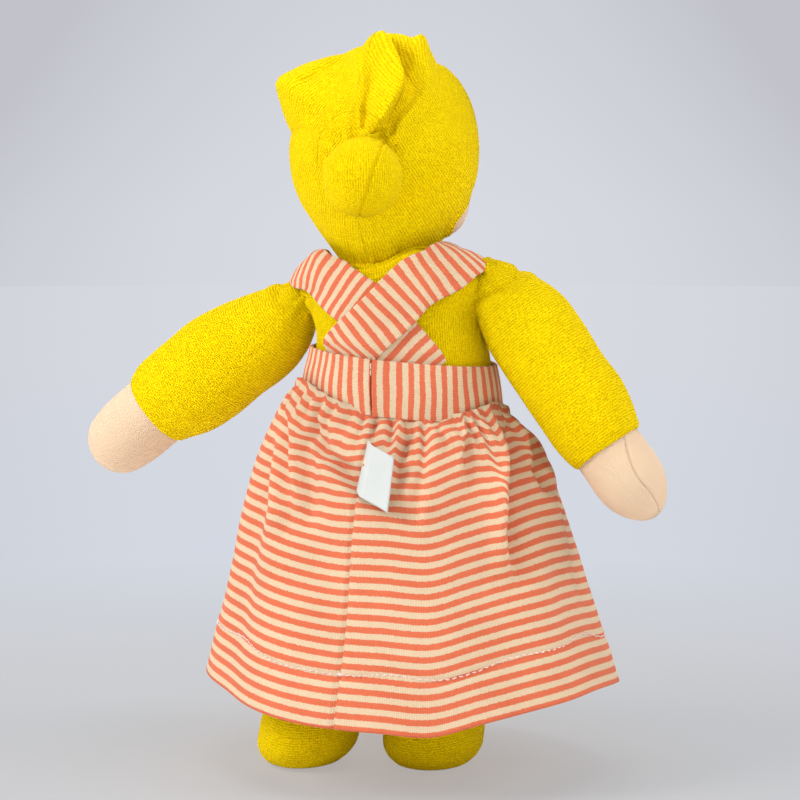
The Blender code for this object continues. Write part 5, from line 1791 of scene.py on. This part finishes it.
class DOLL_OT_bodice(bpy.types.Operator):
    """Sew the waistband and the straps that cross on the back"""

    bl_idname = "doll.bodice"
    bl_label = "Sew Waistband and Straps"
    bl_options = {"REGISTER", "UNDO"}

    def execute(self, context):
        self.waistband()
        rows, _ = torso_points(150, 161)
        tree = tree_over(rows)
        above = TORSO_TOP_Z - WAIST_Z - WAISTBAND_HEIGHT
        crossing_z = WAIST_Z + WAISTBAND_HEIGHT + above * STRAP_CROSSING_SHARE
        _, half_depth, middle_x = torso_section(crossing_z)
        crossing = np.array((middle_x, BODY_Y + half_depth, crossing_z))
        self.strap("left", 1, tree, lift_at=None, phase=1.1)
        self.strap("right", -1, tree, lift_at=crossing, phase=3.6)
        return {"FINISHED"}

    def waistband(self):
        """A folded band round the waist, whose ends lap at the back and are sewn with a few stitches."""
        colours, sizes = settings()
        columns = 361
        turn = WAISTBAND_LAP_TURN + WAISTBAND_WAY_ROUND * np.linspace(0, 1, columns)
        angle = np.radians(turn)
        thick = sizes.ribbon_thickness * 1.1
        rise = np.linspace(0, 1, 26)
        belly = 0.0007 * np.sin(np.pi * rise)
        edge = np.radians(np.linspace(90, -90, 8))[1:-1]
        outer = np.stack((rise, thick + belly), axis=1)
        top = np.stack((1 + 0.022 * np.cos(edge), thick / 2 + thick / 2 * np.sin(edge)), axis=1)
        inner = np.stack((rise[::-1], np.zeros(26)), axis=1)
        foot = np.stack((-0.022 * np.cos(edge), thick / 2 - thick / 2 * np.sin(edge)), axis=1)
        loop = np.concatenate((outer, top, inner, foot, outer[:1]))
        rows = []
        for level, stand in loop:
            uneven = 0.0004 * ripple(101, 31, turn, 360) * math.sin(math.pi * min(max(level, 0), 1))
            lap = 0.0023 * np.exp(-np.abs(turn - WAISTBAND_LAP_TURN) / 5.0)
            height = WAIST_Z + 0.0006 + (WAISTBAND_HEIGHT - 0.0012) * level
            ease = 0.0006 + stand + (uneven + lap) * (stand > thick / 3)
            rows.append(dress_ring(height, ease, angle))
        points = np.stack(rows)
        along = lengths_along(points[:, 0])
        around = lengths_along(points[10])
        points = self.closed_ends(points)
        around = np.concatenate((around[:1], around, around[-1:]))
        flat = flat_places(around[None], along[:, None])
        piece = cut_cloth("waistband_jersey", points, flat)
        finish = stripe_finish("waistband jersey", colours, sizes, True, 0.4, 0.0045)
        hand_over(piece, finish, "torso", ("waistband",))
        levels = [18, 21, 24]
        back = direction(90.0, 0)
        spots = points[levels, 1] * 0.5 + points[levels, -2] * 0.5 + back * 0.0003
        sewn = stitches("waistband_stitches", spots[:-1], spots[1:], [back, back], 0.0003, 0.0004)
        # The second colour is the painted shade in the thread's twist.
        pale = thread_finish("band thread", (0.88, 0.80, 0.72), (0.68, 0.56, 0.48))
        hand_over(sewn, pale, "torso")

    def closed_ends(self, points):
        """The ends of a folded strip are drawn together, so that no hollow shows."""
        first = points[:, :1].mean(axis=0, keepdims=True).repeat(points.shape[0], axis=0)
        last = points[:, -1:].mean(axis=0, keepdims=True).repeat(points.shape[0], axis=0)
        pinch = 0.5
        first = points[:, :1] * (1 - pinch) + first * pinch
        last = points[:, -1:] * (1 - pinch) + last * pinch
        return np.concatenate((first, points, last), axis=1)

    def strap(self, word, side, tree, lift_at, phase):
        """A folded strap laid on the torso. The upper one is lifted where it crosses the other."""
        colours, sizes = settings()
        curve = strap_curve(side)
        ahead = np.gradient(curve, axis=0)
        lanes = np.linspace(-0.5, 0.5, 17) * (sizes.strap_width - sizes.ribbon_thickness)
        laid = np.empty((len(curve), len(lanes), 3))
        faced = np.array([tree.find_nearest(Vector(point))[1] for point in curve])
        across = unit(np.cross(ahead, faced))
        window = np.hanning(61)[1:-1]
        reach = len(window) // 2
        spread = np.pad(across, ((reach, reach), (0, 0)), mode="edge")
        across = np.stack([np.convolve(spread[:, axis], window, "valid") for axis in range(3)], axis=1)
        across = unit(across)
        for row, point in enumerate(curve):
            for column, offset in enumerate(lanes):
                laid[row, column] = tree.find_nearest(Vector(point + across[row] * offset))[0]
        laid = evened(laid, 10)
        outs = evened(normals_of(laid, False), 6)
        outs = unit(outs)
        stand = np.full(laid.shape[:2], 0.0011)
        if lift_at is not None:
            far = np.linalg.norm(laid - lift_at, axis=2)
            stand += smooth((0.036 - far) / 0.010) * (sizes.ribbon_thickness + 0.0004)
        way = np.linspace(0, 1, len(curve))[:, None]
        skewed = way + 0.12 * np.linspace(-1, 1, 17)[None] ** 2
        stand += 0.0004 * (1 + ripple(111 + side, 23, skewed, 1.0))
        above = laid[..., 2] - WAIST_Z - WAISTBAND_HEIGHT - waist_lift(laid[..., 0] - BODY_X)
        stand = -0.0008 + (stand + 0.0008) * smooth((above + 0.0005) / 0.0060)
        kept = np.nonzero(above[:, 8] > -0.0100)[0]
        kept = slice(kept[0], kept[-1] + 1)
        thickness = np.full(stand.shape, sizes.ribbon_thickness)
        points = folded_strip(laid[kept], outs[kept], stand[kept], thickness[kept])
        around = lengths_along(points[len(points) // 2])
        along = lengths_along(points[:, 8])
        flat = flat_places(around[None], along[:, None])
        piece = cut_cloth("strap_" + word + "_jersey", points, flat)
        finish = stripe_finish("strap jersey " + word, colours, sizes, False, phase, 0.0040)
        hand_over(piece, finish, "torso", ("strap_" + word,))


def lamp(name, turn, rise, distance, size, power, colour):
    """A soft box that looks at the doll."""
    spot = Vector(CAMERA_TARGET) + Vector(direction(turn, rise)) * distance
    bpy.ops.object.light_add(type="AREA", location=spot)
    made = bpy.context.object
    made.name = name
    made.rotation_euler = (Vector(CAMERA_TARGET) - spot).to_track_quat("-Z", "Y").to_euler()
    made.data.shape = "DISK"
    made.data.size = size
    made.data.energy = power
    made.data.color = colour
    return made


class DOLL_OT_stage(bpy.types.Operator):
    """Set up the pale floor, the soft boxes and the camera"""

    bl_idname = "doll.stage"
    bl_label = "Set Up Stage"
    bl_options = {"REGISTER", "UNDO"}

    def execute(self, context):
        scene = context.scene
        scene.view_settings.view_transform = "Standard"
        self.floor()
        self.surround(scene)
        lamp("left_soft_box", SIGHT_TURN - 68, 34, 1.5, 0.7, 19.0, WARM_WHITE)
        lamp("right_soft_box", SIGHT_TURN + 72, 34, 1.5, 0.7, 9.5, WARM_WHITE)
        lamp("top_soft_box", SIGHT_TURN, 82, 1.5, 1.0, 12, WHITE)
        lamp("front_fill", SIGHT_TURN + 8, 9, 2.2, 1.0, 8, WHITE)
        lamp("far_fill", SIGHT_TURN + 180, 24, 2.2, 1.4, 12, WHITE)
        self.camera(scene)
        return {"FINISHED"}

    def floor(self):
        colours, _ = settings()
        bpy.ops.object.select_all(action="DESELECT")
        bpy.ops.mesh.primitive_circle_add(vertices=96, radius=6.0, fill_type="TRIFAN")
        floor = bpy.context.object
        floor.name = "studio_floor"
        paint = Finish("studio floor", 0.9)
        place = paint.node("ShaderNodeTexCoord", output=3)
        east, north, _ = paint.parts(place)
        away = paint.maths("SQRT", east * east + north * north)
        depth = paint.maths("MAXIMUM", CAMERA_DISTANCE - paint.along_way(place, SIGHT), 0.4)
        aside = paint.along_way(place, SIGHT_RIGHT) / depth
        # Painted floor tone for the camera: warm by the doll's feet as painted shade with warm bounce from
        # the doll, a darker grey a little further out, paler towards the backdrop, and darker to the sides.
        tone = paint.mixed(paint.clamped((away - 0.02) / 0.13), (0.690, 0.635, 0.600), (0.590, 0.605, 0.635))
        tone = paint.mixed(paint.clamped((away - 0.12) / 0.5), tone, (0.662, 0.698, 0.772))
        tone = paint.mixed(paint.clamped((away - 0.7) / 2.0), tone, BACKDROP_PALE)
        tone = paint.mixed(paint.clamped(aside * aside * 10.0), tone, BACKDROP_SHADE)
        glow = paint.node("ShaderNodeEmission", {}, {"Color": tone, "Strength": 1.0})
        seen = paint.seen()
        dim = paint.mixed(paint.clamped((away - 0.30) / 0.9), colours.floor, (0.62, 0.64, 0.68))
        paint.paint(paint.mixed(seen, (0.93, 0.92, 0.90), dim))
        share = paint.clamped((away - 0.12) / 0.55) * 0.40 + 0.60
        both = paint.node("ShaderNodeMixShader", {}, {0: share * seen})
        paint.tree.links.new(paint.shader.outputs[0], both.socket.node.inputs[1])
        paint.tree.links.new(glow.socket, both.socket.node.inputs[2])
        paint.tree.links.new(both.socket, paint.tree.nodes["Material Output"].inputs["Surface"])
        floor.data.materials.append(paint.material)

    def surround(self, scene):
        """The world is a pale backdrop to the camera, and a plain soft light to the doll."""
        world = bpy.data.worlds.new("studio")
        scene.world = world
        world.use_nodes = True
        paint = Nodes(world.node_tree)
        ray = paint.node("ShaderNodeTexCoord")
        depth = paint.maths("MAXIMUM", paint.along_way(ray, -SIGHT), 0.5)
        aside = paint.along_way(ray, SIGHT_RIGHT) / depth
        above = paint.along_way(ray, SIGHT_UP) / depth
        darker = paint.clamped((above - 0.08) * 3.6) + aside * aside * (above * 130.0 + 10.0)
        tone = paint.mixed(paint.clamped(darker), BACKDROP_PALE, BACKDROP_SHADE)
        backdrop = paint.tree.nodes["Background"]
        paint.tree.links.new(tone.socket, backdrop.inputs["Color"])
        light = paint.node("ShaderNodeBackground", {}, {"Color": (0.97, 0.98, 1.0, 1), "Strength": 0.58})
        seen = paint.seen()
        both = paint.node("ShaderNodeMixShader", {}, {0: seen, 1: light})
        paint.tree.links.new(backdrop.outputs[0], both.socket.node.inputs[2])
        paint.tree.links.new(both.socket, paint.tree.nodes["World Output"].inputs["Surface"])

    def camera(self, scene):
        spot = Vector(CAMERA_TARGET) + Vector(SIGHT) * CAMERA_DISTANCE
        bpy.ops.object.camera_add(location=spot)
        camera = bpy.context.object
        camera.name = "studio_camera"
        camera.rotation_euler = (-Vector(SIGHT)).to_track_quat("-Z", "Y").to_euler()
        camera.data.lens = CAMERA_LENS
        camera.data.sensor_width = 36
        scene.camera = camera


class DOLL_PT_sidebar(bpy.types.Panel):
    """The doll's pieces, sizes and colours"""

    bl_label = "Waldorf Doll"
    bl_idname = "DOLL_PT_sidebar"
    bl_space_type = "VIEW_3D"
    bl_region_type = "UI"
    bl_category = "Doll"

    def draw(self, context):
        layout = self.layout
        for piece in PIECES:
            layout.operator(piece)
        for group in (context.scene.doll_sizes, context.scene.doll_colours):
            box = layout.box()
            for name in group.__annotations__:
                box.prop(group, name)


PIECES = (
    "doll.torso", "doll.neck", "doll.hood", "doll.face", "doll.pompom", "doll.arms", "doll.legs",
    "doll.skirt", "doll.bodice", "doll.stage",
)

CLASSES = (
    DollColours,
    DollSizes,
    DOLL_OT_torso,
    DOLL_OT_neck,
    DOLL_OT_hood,
    DOLL_OT_face,
    DOLL_OT_pompom,
    DOLL_OT_arms,
    DOLL_OT_legs,
    DOLL_OT_skirt,
    DOLL_OT_bodice,
    DOLL_OT_stage,
    DOLL_PT_sidebar,
)


def register():
    for each in CLASSES:
        bpy.utils.register_class(each)
    bpy.types.Scene.doll_colours = PointerProperty(type=DollColours)
    bpy.types.Scene.doll_sizes = PointerProperty(type=DollSizes)


def unregister():
    del bpy.types.Scene.doll_sizes
    del bpy.types.Scene.doll_colours
    for each in reversed(CLASSES):
        bpy.utils.unregister_class(each)


def corners(box):
    return [[float(value) for value in corner] for corner in box]


def main():
    register()
    bpy.ops.object.select_all(action="DESELECT")
    bpy.ops.doll.torso()
    bpy.ops.doll.neck()
    bpy.ops.doll.hood()
    bpy.ops.doll.face()
    bpy.ops.doll.pompom()
    bpy.ops.doll.arms()
    bpy.ops.doll.legs()
    bpy.ops.doll.skirt()
    bpy.ops.doll.bodice()
    bpy.ops.doll.stage()
    bpy.context.view_layer.update()


if __name__ == "__main__":
    main()
